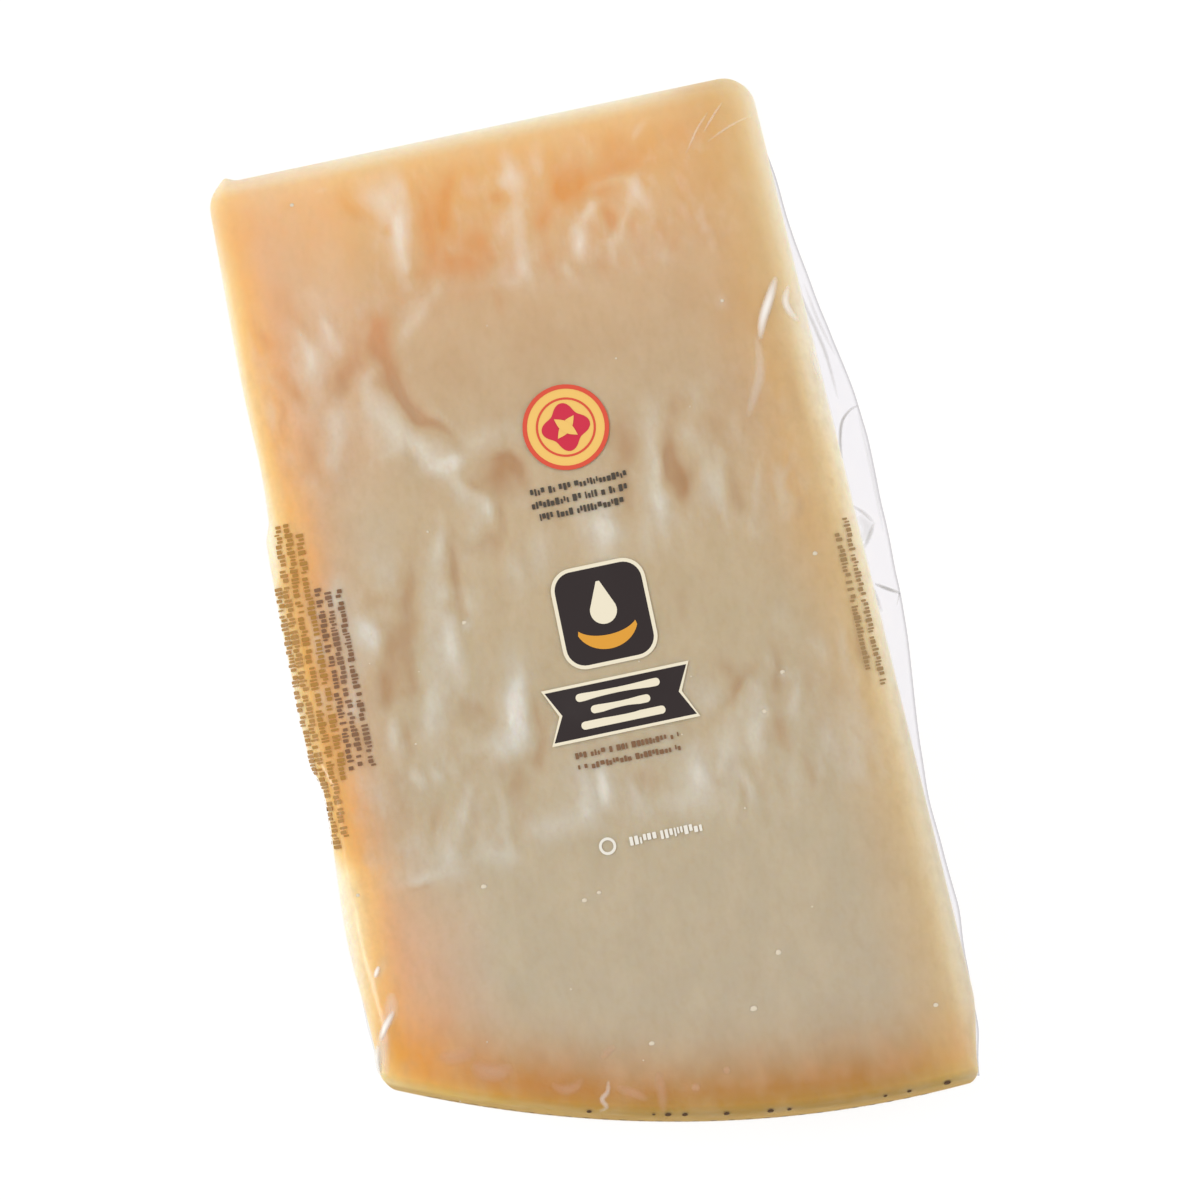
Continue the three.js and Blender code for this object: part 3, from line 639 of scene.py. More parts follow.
def agedPaste(tree):
    # aged hard cheese, cut and broken: dense, faintly translucent, straw beige turning orange where thin,
    # with the glow of light through it painted in;
    # pale and crumbly where it broke, with painted highlights on the ridges and painted shade in the hollows;
    # dull ochre on the rind
    place = addNode(tree, "TexCoord").outputs["Object"]
    lengthwise = addNode(tree, "Mapping", {
        "Vector": place, "Scale": paste["grainScale"]}).outputs["Vector"]

    def valueOf(source, vector):
        # a stored field by its name, or a noise by its bump size, detail and seed
        if isinstance(source, str):
            return addNode(tree, "Attribute", attribute_name=source).outputs["Fac"]
        size, detail, seed = source
        return addNode(tree, "TexNoise", {
            "Vector": vector, "W": seed, "Scale": 1 / (size * mm), "Detail": detail,
        }, noise_dimensions="4D").outputs["Fac"]

    def amountOf(source, low, high, fromLow=0.0, toHigh=1.0, vector=lengthwise):
        # goes from fromLow to toHigh while the source goes from low to high
        return addNode(tree, "MapRange", {
            "Value": valueOf(source, vector), "From Min": low, "From Max": high,
            "To Min": fromLow, "To Max": toHigh}).outputs["Result"]

    def hueOver(source, length, stops, stretch=1.0):
        # a colour, and how much of it, over a distance in mm
        stretched = addNode(tree, "Math", {
            0: valueOf(source, place), 1: stretch}, operation="MULTIPLY").outputs[0]
        share = addNode(tree, "Math", {0: stretched, 1: length}, operation="DIVIDE").outputs[0]
        colours = [(stop[0] / length, toLinear(*stop[1:])) for stop in stops]
        ramp = addNode(tree, "ValToRGB", {"Fac": share}, colours)
        return ramp.outputs["Color"], ramp.outputs["Alpha"]

    def laidOver(under, hue, *amounts):
        # lays a hue over a colour, by the product of the amounts
        amount = amounts[0]
        for factor in amounts[1:]:
            amount = addNode(tree, "Math", {0: amount, 1: factor}, operation="MULTIPLY").outputs[0]
        over = toLinear(hue) if isinstance(hue, str) else hue
        return addNode(tree, "Mix", {0: amount, 6: under, 7: over}, data_type="RGBA").outputs[2]

    colour, _ = hueOver("fromTip", paste["alongLength"], paste["along"])
    # painted glow of light along the thin edges by the rind and cut faces
    cutFades = [amountOf("fromTip", *fade) for fade in paste["cutEdgeGlowFades"]]
    for distance, stops, fades in (
            ("fromRind", paste["rindEdgeGlow"], []), ("fromCut", paste["cutEdgeGlow"], cutFades)):
        hue, amount = hueOver(distance, paste["gradientReach"], stops)
        colour = laidOver(colour, hue, amount, *fades)

    # the crust's band is wider, and without the dark rim of painted shade, near the flat rind face
    heelHue, _ = hueOver("fromRind", paste["heelLength"], paste["heelHue"])
    crustHue, _ = hueOver("fromRind", paste["heelLength"], paste["crustHue"])
    narrows, pales, grows = (
        amountOf("fromRind", *paste[name]) for name in ("heelNarrows", "heelPales", "rimShadeGrows"))
    for name, stretch, hue, most in (
            ("heelAmount", narrows, heelHue, pales), ("crustAmount", 1.0, crustHue, 1.0),
            ("rimShadeAmount", 1.0, paste["rimShadeHue"], grows)):
        stops = [(stop, "FFFFFF", share) for stop, share in paste[name]]
        _, amount = hueOver("fromHeel", paste["heelReach"], stops, stretch)
        colour = laidOver(colour, hue, amount, most)
    blush = paste["blush"]
    colour = laidOver(
        colour, blush["hue"], amountOf(blush["noise"], *blush["values"], vector=place),
        amountOf("fromHeel", *blush["low"]), amountOf("fromHeel", *blush["high"]), blush["most"])

    for wash in paste["washes"]:
        hue, amount = hueOver(wash["over"], paste["gradientReach"], wash["stops"])
        fades = [amountOf(wash["along"], *wash["fades"])]
        if "until" in wash:
            fades.append(amountOf(wash["along"], *wash["until"], 1, 0))
        colour = laidOver(colour, hue, amount, *fades)

    # painted shade for the hollows, painted highlights for the ridges and crests
    hues = {name: hueOver("fromTip", paste["alongLength"], paste[name])[0]
            for name in ("hollows", "paleAndLitRidges", "crestGlints")}
    byRind = paste["hollowsByRind"]
    hues["hollows"] = laidOver(hues["hollows"], byRind["hue"], amountOf("fromRind", *byRind["fades"]))
    broken = valueOf("broken", place)
    for noise, low, high, most, hue in paste["crumbShading"]:
        colour = laidOver(colour, hues[hue], broken, amountOf(noise, low, high, 0, most))
    for low, high, most, hue in paste["crags"]:
        colour = laidOver(colour, hues[hue], amountOf("tone", low, high, 0, most))

    fine = amountOf("fromTip", *paste["fineFades"])
    for name, vector, fades in (
            ("clouds", lengthwise, []), ("flecks", lengthwise, [fine]), ("grain", place, [fine])):
        noise, low, high, most, hue = paste[name]
        colour = laidOver(colour, hue, amountOf(noise, low, high, 0, most, vector), *fades)

    # the rind: ochre, dry, finely mottled
    rind = paste["rind"]
    mottle = amountOf(rind["noise"], *rind["values"], vector=place)
    rindHue = laidOver(toLinear(rind["hue"]), rind["mottle"], mottle)
    colour = laidOver(colour, rindHue, valueOf("rind", place), rind["most"])

    bump = addNode(tree, "Bump", {
        "Height": valueOf(paste["grain"][0], place), "Distance": paste["bump"]["depth"] * mm,
        "Strength": paste["bump"]["strength"]}).outputs["Normal"]
    return addNode(tree, "BsdfPrincipled", {
        "Base Color": colour, "Normal": bump, "Subsurface Scale": paste["glowDepth"] * mm,
        **paste["surface"]})


sealedFilm = {
    "tint": "FDFCFA",
    # share of light that one smooth film sends back when seen straight on, where it clings and bridges
    "clings": 0.025,
    "bridges": 0.075,
    "gaps": (0.25, 1.2),  # mm from the cheese where it starts to bridge, and where it does so fully
    "grazing": 0.03,
    "grazingPower": 5.0,
    "roughness": 0.24,
    "wrinkles": {"size": 3.0, "depth": 0.15, "strength": 0.35},
}


def filmSheen(tree, straightOn):
    # share of light sent back, from straightOn to more at a grazing view, on the outer side alone
    geometry = addNode(tree, "NewGeometry")
    facing = addNode(tree, "LayerWeight", {"Blend": 0.5}).outputs["Facing"]
    value = addNode(tree, "Math", {
        0: facing, 1: sealedFilm["grazingPower"]}, operation="POWER").outputs[0]
    value = addNode(tree, "Math", {
        0: value, 1: sealedFilm["grazing"], 2: straightOn}, operation="MULTIPLY_ADD").outputs[0]
    outer = addNode(tree, "Math", {
        0: 1.0, 1: geometry.outputs["Backfacing"]}, operation="SUBTRACT").outputs[0]
    return addNode(tree, "Math", {0: value, 1: outer}, operation="MULTIPLY").outputs[0]


def clearFilm(tree):
    # clear co-extruded vacuum film, smooth: nearly invisible where it clings, soft whitish gloss where
    # it bridges a hollow
    gap = addNode(tree, "Attribute", attribute_name="gap").outputs["Fac"]
    straightOn = addNode(tree, "MapRange", {
        "Value": gap, "From Min": sealedFilm["gaps"][0], "From Max": sealedFilm["gaps"][1],
        "To Min": sealedFilm["clings"], "To Max": sealedFilm["bridges"]}).outputs["Result"]
    place = addNode(tree, "TexCoord").outputs["Object"]
    wrinkles = sealedFilm["wrinkles"]
    wrinkled = addNode(tree, "TexNoise", {
        "Vector": place, "Scale": 1 / (wrinkles["size"] * mm), "Detail": 2}).outputs["Fac"]
    bump = addNode(tree, "Bump", {
        "Height": wrinkled, "Distance": wrinkles["depth"] * mm, "Strength": wrinkles["strength"]})
    gloss = addNode(tree, "BsdfGlossy", {
        "Color": toLinear("FFFFFF"), "Roughness": sealedFilm["roughness"], "Normal": bump.outputs["Normal"]})
    return overClear(tree, toLinear(sealedFilm["tint"]), filmSheen(tree, straightOn), gloss)


# The cheese, and the film over it
points, unit, normals = body["points"], body["unit"], body["normals"]
across, along = points[:, 0], points[:, 1]
cheeseSurface = points + normals * (skinHeight(relief["height"], -skin["cheeseInset"]))[:, None]
cheesePaste = newMaterial("agedCheesePaste", agedPaste)
cheese = newMesh("cheeseWedge", cheeseSurface, body["quads"], cheesePaste)
belowTop = smoothStep(thicknessAt(along) - points[:, 2], *skin["rindStarts"])
for name, values in {
        "fromTip": wedge["tipY"] - along,
        "fromRind": across - rindFaceAt(along),
        "fromCut": cutFaceAt(along) - across,
        "fromHeel": along - wedge["heelY"] - heelSag(across, points[:, 2]),
        "tone": body["open"] * sum(onCutFaces(relief["tone"])),
        "broken": body["open"] * sum(onCutFaces(relief["depth"])),
        "rind": np.maximum(unit[:, 1] == 0, unit[:, 0] == 0) * belowTop}.items():
    storeField(cheese, name, values)

filmSurface = points + normals * (skinHeight(stretchedFilm, skin["filmGap"]))[:, None]
wrap = newMesh("filmWrap", filmSurface, body["quads"], newMaterial("clearVacuumFilm", clearFilm))
storeField(wrap, "gap", np.linalg.norm(filmSurface - cheeseSurface, axis=1))
print("cheese and film ready")

# Prints, creases, crystals and dots are dropped on one of these two
filmTree, cheeseTree = (BVHTree.FromPolygons(surface.tolist(), body["quads"].tolist())
                        for surface in (filmSurface, cheeseSurface))
print("surface trees ready")

fromAbove = {"start": (0, 0, 90), "way": (0, 0, -1)}
fromHeelSide = {"start": (0, -140, 0), "way": (0, 1, 0)}
missedDrop = 3  # mm below the top, where a point goes that misses the surface


def drop(surface, spots, lift, start, way, deepest=1000):
    # lays points on a surface, coming from start along way; each spot is an offset in the plane across it;
    # one that misses, or falls deeper than deepest below the top, goes to the skin just under the top's edge
    placed = []
    start, way = Vector(start), Vector(way)
    for spot in spots:
        origin = Vector(spot) + start
        top = thicknessAt(origin.y)
        place, normal, _, _ = surface.ray_cast(origin, way)
        if place is None or top - place.z > deepest:
            place, normal, _, _ = surface.find_nearest((origin.x, origin.y, top - missedDrop))
        placed.append(place + normal * (lift if normal.dot(way) < 0 else -lift))
    return placed


def arcOf(middle, radii, start=0.0, end=360.0, count=48):
    angles = np.radians(np.linspace(start, end, count, endpoint=end - start < 360))
    return [(middle[0] + radii[0] * math.cos(a), middle[1] + radii[1] * math.sin(a)) for a in angles]


def roundedBox(middle, halfSizes, corner, count):
    outline = []
    for quarter, (sx, sy) in enumerate(((1, 1), (-1, 1), (-1, -1), (1, -1))):
        turn = (middle[0] + sx * (halfSizes[0] - corner), middle[1] + sy * (halfSizes[1] - corner))
        angles = [math.radians(90 * (quarter + n / (count - 1))) for n in range(count)]
        outline += [(turn[0] + corner * math.cos(a), turn[1] + corner * math.sin(a)) for a in angles]
    return outline


def splitSides(outline, parts):
    # more points along each side, to follow the film under it
    corners = [Vector(spot) for spot in outline]
    sides = zip(corners, corners[1:] + corners[:1])
    return [tuple(a.lerp(b, n / parts)) for a, b in sides for n in range(parts)]


def ringOf(outer, inner):
    # the band between two outlines with as many points each
    count = len(outer)
    faces = [[n, (n + 1) % count, count + (n + 1) % count, count + n] for n in range(count)]
    return list(outer) + list(inner), faces


def filled(outline, cell=0.9):
    # triangles inside an outline, small enough to follow the film under them
    low, high = np.min(outline, 0), np.max(outline, 0)
    columns, rows = (np.arange(low[axis] + cell / 2, high[axis], cell) for axis in (0, 1))
    corners = [Vector(spot) for spot in outline] + [Vector((x, y)) for x in columns for y in rows]
    rim = [(n, (n + 1) % len(outline)) for n in range(len(outline))]
    spots, _, faces, _, _, _ = delaunay_2d_cdt(corners, rim, [], 1, 1e-4)
    return [tuple(spot) for spot in spots], [list(face) for face in faces]


def joined(shapes):
    # one list of points and one of faces from many shapes
    allPoints, allFaces = [], []
    for shapePoints, shapeFaces, *_ in shapes:
        first = len(allPoints)
        allPoints += [tuple(point) for point in shapePoints]
        allFaces += [[first + n for n in face] for face in shapeFaces]
    return allPoints, allFaces


# flexographic inks on the film: flat and opaque
inkColours = {
    "red": "D8503A", "crimson": "CB2A44", "yellow": "EDC069", "black": "2A2020", "smoky": "4A4238",
    "cream": "E9DFC6", "ochre": "DB9A33", "brown": "7E5C40", "golden": "A97C38", "olive": "9C7E54",
    "white": "E6E1D5",
}
# mm: lift of each layer of ink, and how far below the top's edge it may wrap round
printing = {"roughness": 0.45, "specular": 0.3, "lift": 0.06, "deepest": 4.5}
inks = {name: newMaterial(name + "Ink", opaqueFinish, hexColour, printing["roughness"], printing["specular"])
        for name, hexColour in inkColours.items()}


def newPrint(name, layers):
    # layers of ink, each (ink, level, [(points, faces)]) in X and Y, laid on the film
    placed, inkOfFace, used = [], [], []
    for inkName, level, shapes in layers:
        if inkName not in used:
            used.append(inkName)
        for outline, faces in shapes:
            spots = [(x, y, 0) for x, y in outline]
            lift = printing["lift"] * (1 + level)
            placed.append((drop(filmTree, spots, lift, **fromAbove, deepest=printing["deepest"]), faces))
            inkOfFace += [used.index(inkName)] * len(faces)
    piece = newMesh(name, *joined(placed), inks[used[0]])
    for inkName in used[1:]:
        piece.data.materials.append(inks[inkName])
    piece.data.polygons.foreach_set("material_index", inkOfFace)


# A round seal: a plain four-lobed red flower with crossed yellow leaves, on yellow within two red rings.
seal = {
    "middle": (1.95, 42.1), "field": 8.6, "rings": [(8.8, 7.9), (6.1, 5.65)],
    "flower": {"radius": 4.3, "lobes": 4, "depth": 0.16},
    "leaf": {"halfLength": 2.9, "halfWidth": 1.1}, "leafTurns": [(2, -45), (3, 45)],  # level and turn
}


def circleOf(middle, radius, count=48):
    return arcOf(middle, (radius, radius), count=count)


def lobed(middle, radius, lobes, depth, count=72):
    angles = [2 * math.pi * n / count for n in range(count)]
    return [(middle[0] + radius * (1 + depth * math.cos(lobes * a)) * math.cos(a),
             middle[1] + radius * (1 + depth * math.cos(lobes * a)) * math.sin(a)) for a in angles]


def leafOf(middle, halfLength, halfWidth, turn, count=14):
    side = [(halfWidth * math.sin(math.pi * n / count), halfLength * (2 * n / count - 1))
            for n in range(count)]
    shape = side + [(-x, -y) for x, y in side]
    c, s = math.cos(math.radians(turn)), math.sin(math.radians(turn))
    return [(middle[0] + c * x - s * y, middle[1] + s * x + c * y) for x, y in shape]


middle = seal["middle"]
newPrint("sealPrint", [
    ("yellow", 0, [filled(circleOf(middle, seal["field"]))]),
    ("red", 1, [ringOf(circleOf(middle, outer), circleOf(middle, inner)) for outer, inner in seal["rings"]]),
    ("crimson", 1, [filled(lobed(middle, **seal["flower"]))]),
    *(("yellow", level, [filled(leafOf(middle, **seal["leaf"], turn=turn))])
      for level, turn in seal["leafTurns"]),
])

# Rows of small plain bars stand for the small print.
smallPrint = {
    "bars": (0.3, 0.85), "heights": (0.7, 0.75, 1.0), "corner": 0.13,
    "gaps": (0.2, 0.32), "wordGap": 0.85, "inWord": 0.84,  # how often a gap is one within a word
}


def barRows(middle, width, rows, pitch, height, seed, upright=False, ragged=0.28):
    draw = random.Random(seed)
    shapes = []
    for row in range(rows):
        across = middle[1] - (row - (rows - 1) / 2) * pitch
        rowWidth = width * (1 - ragged * draw.random())
        along = middle[0] - rowWidth / 2
        while along < middle[0] + rowWidth / 2:
            length = draw.uniform(*smallPrint["bars"])
            half = height / 2 * draw.choice(smallPrint["heights"])
            place = (along + length / 2, across + draw.choice((-1, 1)) * (height / 2 - half))
            box = roundedBox(place, (length / 2, half), smallPrint["corner"], 3)
            shapes.append(([(y, x) for x, y in box] if upright else box, [list(range(len(box)))]))
            inWord = draw.random() < smallPrint["inWord"]
            along += length + (draw.uniform(*smallPrint["gaps"]) if inWord else smallPrint["wordGap"])
    return shapes


newPrint("sealSmallPrint", [("smoky", 0, barRows((1.75, 27.7), 22, 3, 2.6, 1.45, 11))])

# A badge: a cream milk drop over an ochre bowl, on a dark rounded square with a cream border.
badge = {
    "middle": (1.75, 3.6), "half": (9.6, 10.2), "border": 0.75, "corner": 4.5,
    "drop": {"up": 0.6, "radius": 2.7, "tipUp": 6.6, "tipHalf": 0.35},
    "bowl": {"up": -1.5, "radii": (6.4, 5.6), "rimUp": -1.2, "rimRadii": (6.4, 3.1)},
}
(x, y), milk, bowl = badge["middle"], badge["drop"], badge["bowl"]
outer = splitSides(roundedBox((x, y), badge["half"], badge["corner"], 9), 8)
inner = splitSides(roundedBox((x, y), [h - badge["border"] for h in badge["half"]],
                              badge["corner"] - badge["border"], 9), 8)
milkDrop = arcOf((x, y + milk["up"]), (milk["radius"],) * 2, 150, 390, 20)
milkDrop += [(x + side * milk["tipHalf"], y + milk["tipUp"]) for side in (1, -1)]
bowlShape = arcOf((x, y + bowl["up"]), bowl["radii"], 200, 340, 24)
bowlShape += arcOf((x, y + bowl["rimUp"]), bowl["rimRadii"], 335, 205, 18)
newPrint("badgePrint", [
    ("black", 0, [filled(inner)]), ("cream", 0, [ringOf(outer, inner)]),
    ("cream", 1, [filled(milkDrop)]), ("ochre", 1, [filled(bowlShape)]),
])

# A ribbon under it with three plain bars, and two rows of small print.
ribbon = {
    "middle": (1.25, -14.6), "half": (15.0, 5.6), "notch": 2.6, "border": 0.6,
    "bars": [(2.8, 8.5), (0, 6.0), (-2.8, 8.5)],  # height and half length of each
    "barHalf": 0.8, "barCorner": 0.75,
}


def ribbonOf(middle, half, notch):
    x, y = middle
    return [(x + half[0], y + half[1]), (x - half[0], y + half[1]), (x - half[0] + notch, y),
            (x - half[0], y - half[1]), (x + half[0], y - half[1]), (x + half[0] - notch, y)]


x, y = ribbon["middle"]
outer = splitSides(ribbonOf((x, y), ribbon["half"], ribbon["notch"]), 30)
inner = splitSides(ribbonOf((x, y), [h - ribbon["border"] for h in ribbon["half"]], ribbon["notch"]), 30)
bars = [filled(roundedBox((x, y + up), (halfLength, ribbon["barHalf"]), ribbon["barCorner"], 5))
        for up, halfLength in ribbon["bars"]]
newPrint("ribbonPrint", [
    ("cream", 0, [ringOf(outer, inner)]), ("black", 0, [filled(inner)]), ("cream", 1, bars)])
newPrint("ribbonSmallPrint", [("brown", 0, barRows((0.75, -24.1), 24, 2, 2.4, 1.2, 12))])

# A small white mark low on the face.
mark = {"ringX": -7.0, "barsX": 4.4, "y": -41.2, "ring": (1.7, 1.15)}
rings = [circleOf((mark["ringX"], mark["y"]), radius, 24) for radius in mark["ring"]]
newPrint("whitePrint", [
    ("white", 0, [ringOf(*rings), *barRows((mark["barsX"], mark["y"]), 15, 1, 1, 1.7, 13)])])

# Columns of small print down both long edges; the outermost wrap round on to the rind face.
sidePrint = {
    # distance from the rind face, top and bottom in Y, bar height, ink
    "rind": [
        (0.9, 22, -30, 1.5, "golden"), (2.6, 34.7, -31, 1.5, "golden"), (4.7, 34.7, -29, 1.5, "golden"),
        (6.9, 31.7, -18, 1.5, "golden"), (8.8, 21, -16.5, 1.35, "brown"), (10.7, 19, -16, 1.35, "brown"),
        (12.9, 19.4, -16.5, 1.35, "brown")],
    # X, top and bottom in Y
    "cut": [(50.8, 9, -18), (53.0, 12.6, -21.5)],
    "cutHeight": 1.3,
    "seeds": (20, 31),
}


def printColumn(x, top, bottom, height, seed):
    return barRows(((top + bottom) / 2, x), top - bottom, 1, 1, height, seed, True, 0)


def besideRindFace(shapes):
    # moves shapes drawn at a distance from the rind face to their place on the wedge
    out = wedge["printBulge"]["rise"]
    return [([(x + float(plainRindFaceAt(y)) - out, y) for x, y in spots], faces) for spots, faces in shapes]


columns = {"golden": [], "brown": []}
for number, (x, top, bottom, height, inkName) in enumerate(sidePrint["rind"], sidePrint["seeds"][0]):
    columns[inkName] += besideRindFace(printColumn(x, top, bottom, height, number))
newPrint("rindSidePrint", [(inkName, 0, shapes) for inkName, shapes in columns.items()])
cutColumns = [printColumn(*column, sidePrint["cutHeight"], number)
              for number, column in enumerate(sidePrint["cut"], sidePrint["seeds"][1])]
newPrint("cutSidePrint", [("olive", 0, sum(cutColumns, []))])
print("prints ready")

# Loose film: the sealed margin down the cut side and a narrow flap on the other side
seamMargin = {
    "side": 1, "faceAt": cutFaceAt, "root": 5.0, "thickness": 0.16, "heightShare": 0.4, "wave": 0.7,
    "hues": ("FAF9FB", "E4E3E5"),  # of the film and of its outer edge
    # Y and the X that the film reaches
    "stations": [
        (-104, 57.0), (-100, 57.6), (-94, 59.2), (-87, 59.0), (-79, 59.5), (-71, 60.3), (-59, 59.6),
        (-45, 59.0), (-35, 59.7), (-24, 60.9), (-14, 61.8), (-5, 62.4), (15, 62.6), (27, 62.6), (36, 62.3),
        (48, 60.4), (58, 58.5), (73, 56.5), (90, 55.2), (96, 54.0)],
}
rindFlap = {
    "side": -1, "faceAt": rindFaceAt, "root": 5.0, "thickness": 0.06, "heightShare": 0.62, "wave": 0.4,
    "hues": ("FEFEFE", "F6F6F6"),
    "stations": [
        (-78, -59.6), (-75, -61.2), (-68, -61.9), (-58, -61.6), (-48, -60.8), (-43, -60.0), (-40, -59.0)],
}

strip = {
    "across": 18, "along": 240, "crowding": 1.8,  # rows, and how much they crowd towards the outer edge
    "jitter": 0.15, "jitterSize": 7, "smoothing": 7, "seeds": (41, 43, 44),
    "ripple": 9, "rippleTurn": 1.3, "fineRipple": 3.5, "fineShare": 0.4, "hem": (0.05, 0.6),
    "sheen": 0.06, "roughness": 0.25,
}


def marginStrip(margin):
    places = np.linspace(margin["stations"][0][0], margin["stations"][-1][0], strip["along"])
    reach = np.interp(places, *zip(*margin["stations"]))
    reach += strip["jitter"] * swell(places, 0 * places, strip["jitterSize"], seed=strip["seeds"][0])
    window = strip["smoothing"]
    reach = np.convolve(np.pad(reach, window // 2, mode="edge"), np.ones(window) / window, mode="valid")
    rows = 1 - np.linspace(1, 0, strip["across"]) ** strip["crowding"]
    y, share = np.meshgrid(places, rows, indexing="ij")
    root = margin["faceAt"](y) - margin["side"] * margin["root"]
    x = root + share * (reach[:, None] - root)
    ripple = swell(x * strip["rippleTurn"], y, strip["ripple"], seed=strip["seeds"][1])
    ripple += strip["fineShare"] * swell(x, y, strip["fineRipple"], seed=strip["seeds"][2])
    z = margin["heightShare"] * thicknessAt(y) + margin["wave"] * share * ripple
    numbers = np.arange(x.size).reshape(x.shape)
    spots = np.stack([x.ravel(), y.ravel(), z.ravel()], 1)
    points, faces = closedSheet(spots, facesOf(numbers, margin["side"] < 0), margin["thickness"])
    toEdge = np.tile(((1 - share) * np.abs(reach[:, None] - root)).ravel(), 2)
    return points, faces, toEdge


def looseFilm(tree, hexColour, hemColour):
    # two layers of film sealed together: a little milky, lilac grey, darker along its edge
    hem = addNode(tree, "Attribute", attribute_name="hem").outputs["Fac"]
    stops = [(0, toLinear(hexColour)), (1, toLinear(hemColour))]
    tint = addNode(tree, "ValToRGB", {"Fac": hem}, stops).outputs["Color"]
    gloss = addNode(tree, "BsdfGlossy", {"Color": toLinear("FFFFFF"), "Roughness": strip["roughness"]})
    return overClear(tree, tint, filmSheen(tree, strip["sheen"]), gloss)


looseTrees = {}
for name, finish, margin in (
        ("filmSeam", "milkySealedFilm", seamMargin), ("filmFlap", "thinSealedFilm", rindFlap)):
    stripPoints, stripFaces, toEdge = marginStrip(margin)
    loose = newMesh(name, stripPoints, stripFaces, newMaterial(finish, looseFilm, *margin["hues"]))
    storeField(loose, "hem", 1 - smoothStep(toEdge, *strip["hem"]))
    looseTrees[name] = BVHTree.FromPolygons(stripPoints.tolist(), stripFaces)


# Creases that stand up in the clinging film, whitish along them: painted highlights
creases = [
    # points in X and Y, half width, height, strength
    ([(50.3, 63.6), (48.0, 59.5), (45.7, 55.4), (44.3, 51.6)], 1.25, 0.4, 0.9),
    ([(43.9, 52.6), (42.8, 45.0), (40.6, 40.4), (38.4, 36.4)], 1.4, 0.12, 0.24),
    ([(52.4, 61.4), (51.1, 58.4), (51.4, 56.0), (52.8, 53.6)], 1.0, 0.3, 0.72),
    ([(54.2, 47.8), (54.2, 44.5), (54.4, 41.0)], 1.0, 0.12, 0.45),
    ([(37.9, 93.0), (41.3, 97.7), (44.4, 100.9)], 0.35, 0.1, 0.25),
    ([(42.5, 96.8), (45.0, 99.6), (47.5, 102.1)], 0.35, 0.1, 0.3),
    ([(42.8, 94.6), (48.0, 96.8), (53.2, 98.3)], 0.35, 0.1, 0.25),
    ([(-56.6, -56.6), (-55.5, -54.7)], 0.6, 0.35, 0.9),
    ([(-54.3, -63.6), (-56.2, -65.9), (-57.9, -68.6)], 0.85, 0.35, 0.9),
    ([(-58.5, -69.4), (-59.2, -72.0), (-59.4, -75.0)], 0.85, 0.3, 0.85),
    ([(-54.0, -60.0), (-54.8, -63.2), (-56.2, -66.4)], 1.7, 0.05, 0.28),
    ([(-57.0, -66.6), (-57.9, -70.4), (-58.2, -75.4)], 1.6, 0.05, 0.35),
    ([(-16.0, -84.6), (-16.6, -86.6), (-17.9, -87.8), (-17.4, -89.4), (-18.9, -90.0)], 0.7, 0.15, 0.35),
]
# Soft pale blooms and threads along the crust: painted sheen of the film wrinkled over it
heelWrinkleSheen = [
    ([(-47.2, -73.6), (-44.6, -74.5), (-42.0, -74.3), (-40.4, -73.2)], 1.8, 0.01, 0.3),
    ([(-41.2, -76.4), (-38.8, -78.1), (-36.2, -78.8), (-33.8, -78.2)], 2.2, 0.01, 0.45),
    ([(-26.9, -83.0), (-24.9, -84.5), (-22.4, -84.5), (-20.8, -83.2)], 1.3, 0.01, 0.32),
    ([(-14.8, -86.2), (-12.1, -87.7), (-9.4, -89.6)], 1.2, 0.01, 0.33),
    ([(-6.3, -85.0), (-6.5, -89.3), (-7.0, -93.0)], 1.3, 0.01, 0.3),
    ([(-16.4, -80.2), (-15.0, -79.2), (-13.4, -78.6)], 1.0, 0.01, 0.3),
    ([(-0.6, -89.0), (1.0, -89.4)], 1.0, 0.01, 0.4), ([(6.0, -87.2), (7.4, -87.4)], 0.9, 0.01, 0.4),
]
# Folds in the sealed margin, grey along them: painted shade
seamFolds = [
    ([(62.4, 34.9), (60.3, 34.2), (58.2, 32.2), (57.0, 28.5), (56.5, 24.5)], 0.45, 0.1, 0.7),
    ([(56.6, 14.7), (58.4, 12.9), (60.2, 10.4)], 0.5, 0.1, 0.4),
    ([(60.2, 10.4), (58.6, 7.8), (57.0, 5.6)], 0.6, 0.1, 0.45),
    ([(57.4, 12.4), (58.6, 9.8), (57.2, 7.0)], 1.5, 0.1, 0.22),
    ([(57.6, -2.0), (60.0, -3.6), (62.4, -5.0)], 0.5, 0.1, 0.75),
    ([(56.2, -1.5), (57.2, -4.0), (57.8, -8.0)], 0.6, 0.1, 0.35),
    ([(55.0, 63.0), (56.0, 57.0), (57.0, 52.0), (58.0, 46.0), (58.4, 37.0)], 0.55, 0.1, 0.4),
    ([(56.6, 62.0), (57.8, 54.0), (59.8, 46.0)], 0.45, 0.1, 0.25),
    ([(61.8, 33.0), (61.9, 20.0), (61.6, 8.0)], 0.5, 0.1, 0.15),
    ([(57.6, -58.0), (58.3, -68.0), (57.6, -80.0), (58.2, -90.0)], 0.6, 0.1, 0.2),
]


def smoothPath(corners, step=0.35):
    # Catmull-Rom through the corners
    corners = [Vector(c) for c in corners]
    ends = [corners[0] * 2 - corners[1], *corners, corners[-1] * 2 - corners[-2]]
    path = []
    for a, b, c, d in zip(ends, ends[1:], ends[2:], ends[3:]):
        count = max(2, int((c - b).length / step))
        for n in range(count):
            t = n / count
            path.append((b * 2 + (c - a) * t + (a * 2 - b * 5 + c * 4 - d) * t**2
                         + (b * 3 - a - c * 3 + d) * t**3) / 2)
    return path + [corners[-1]]


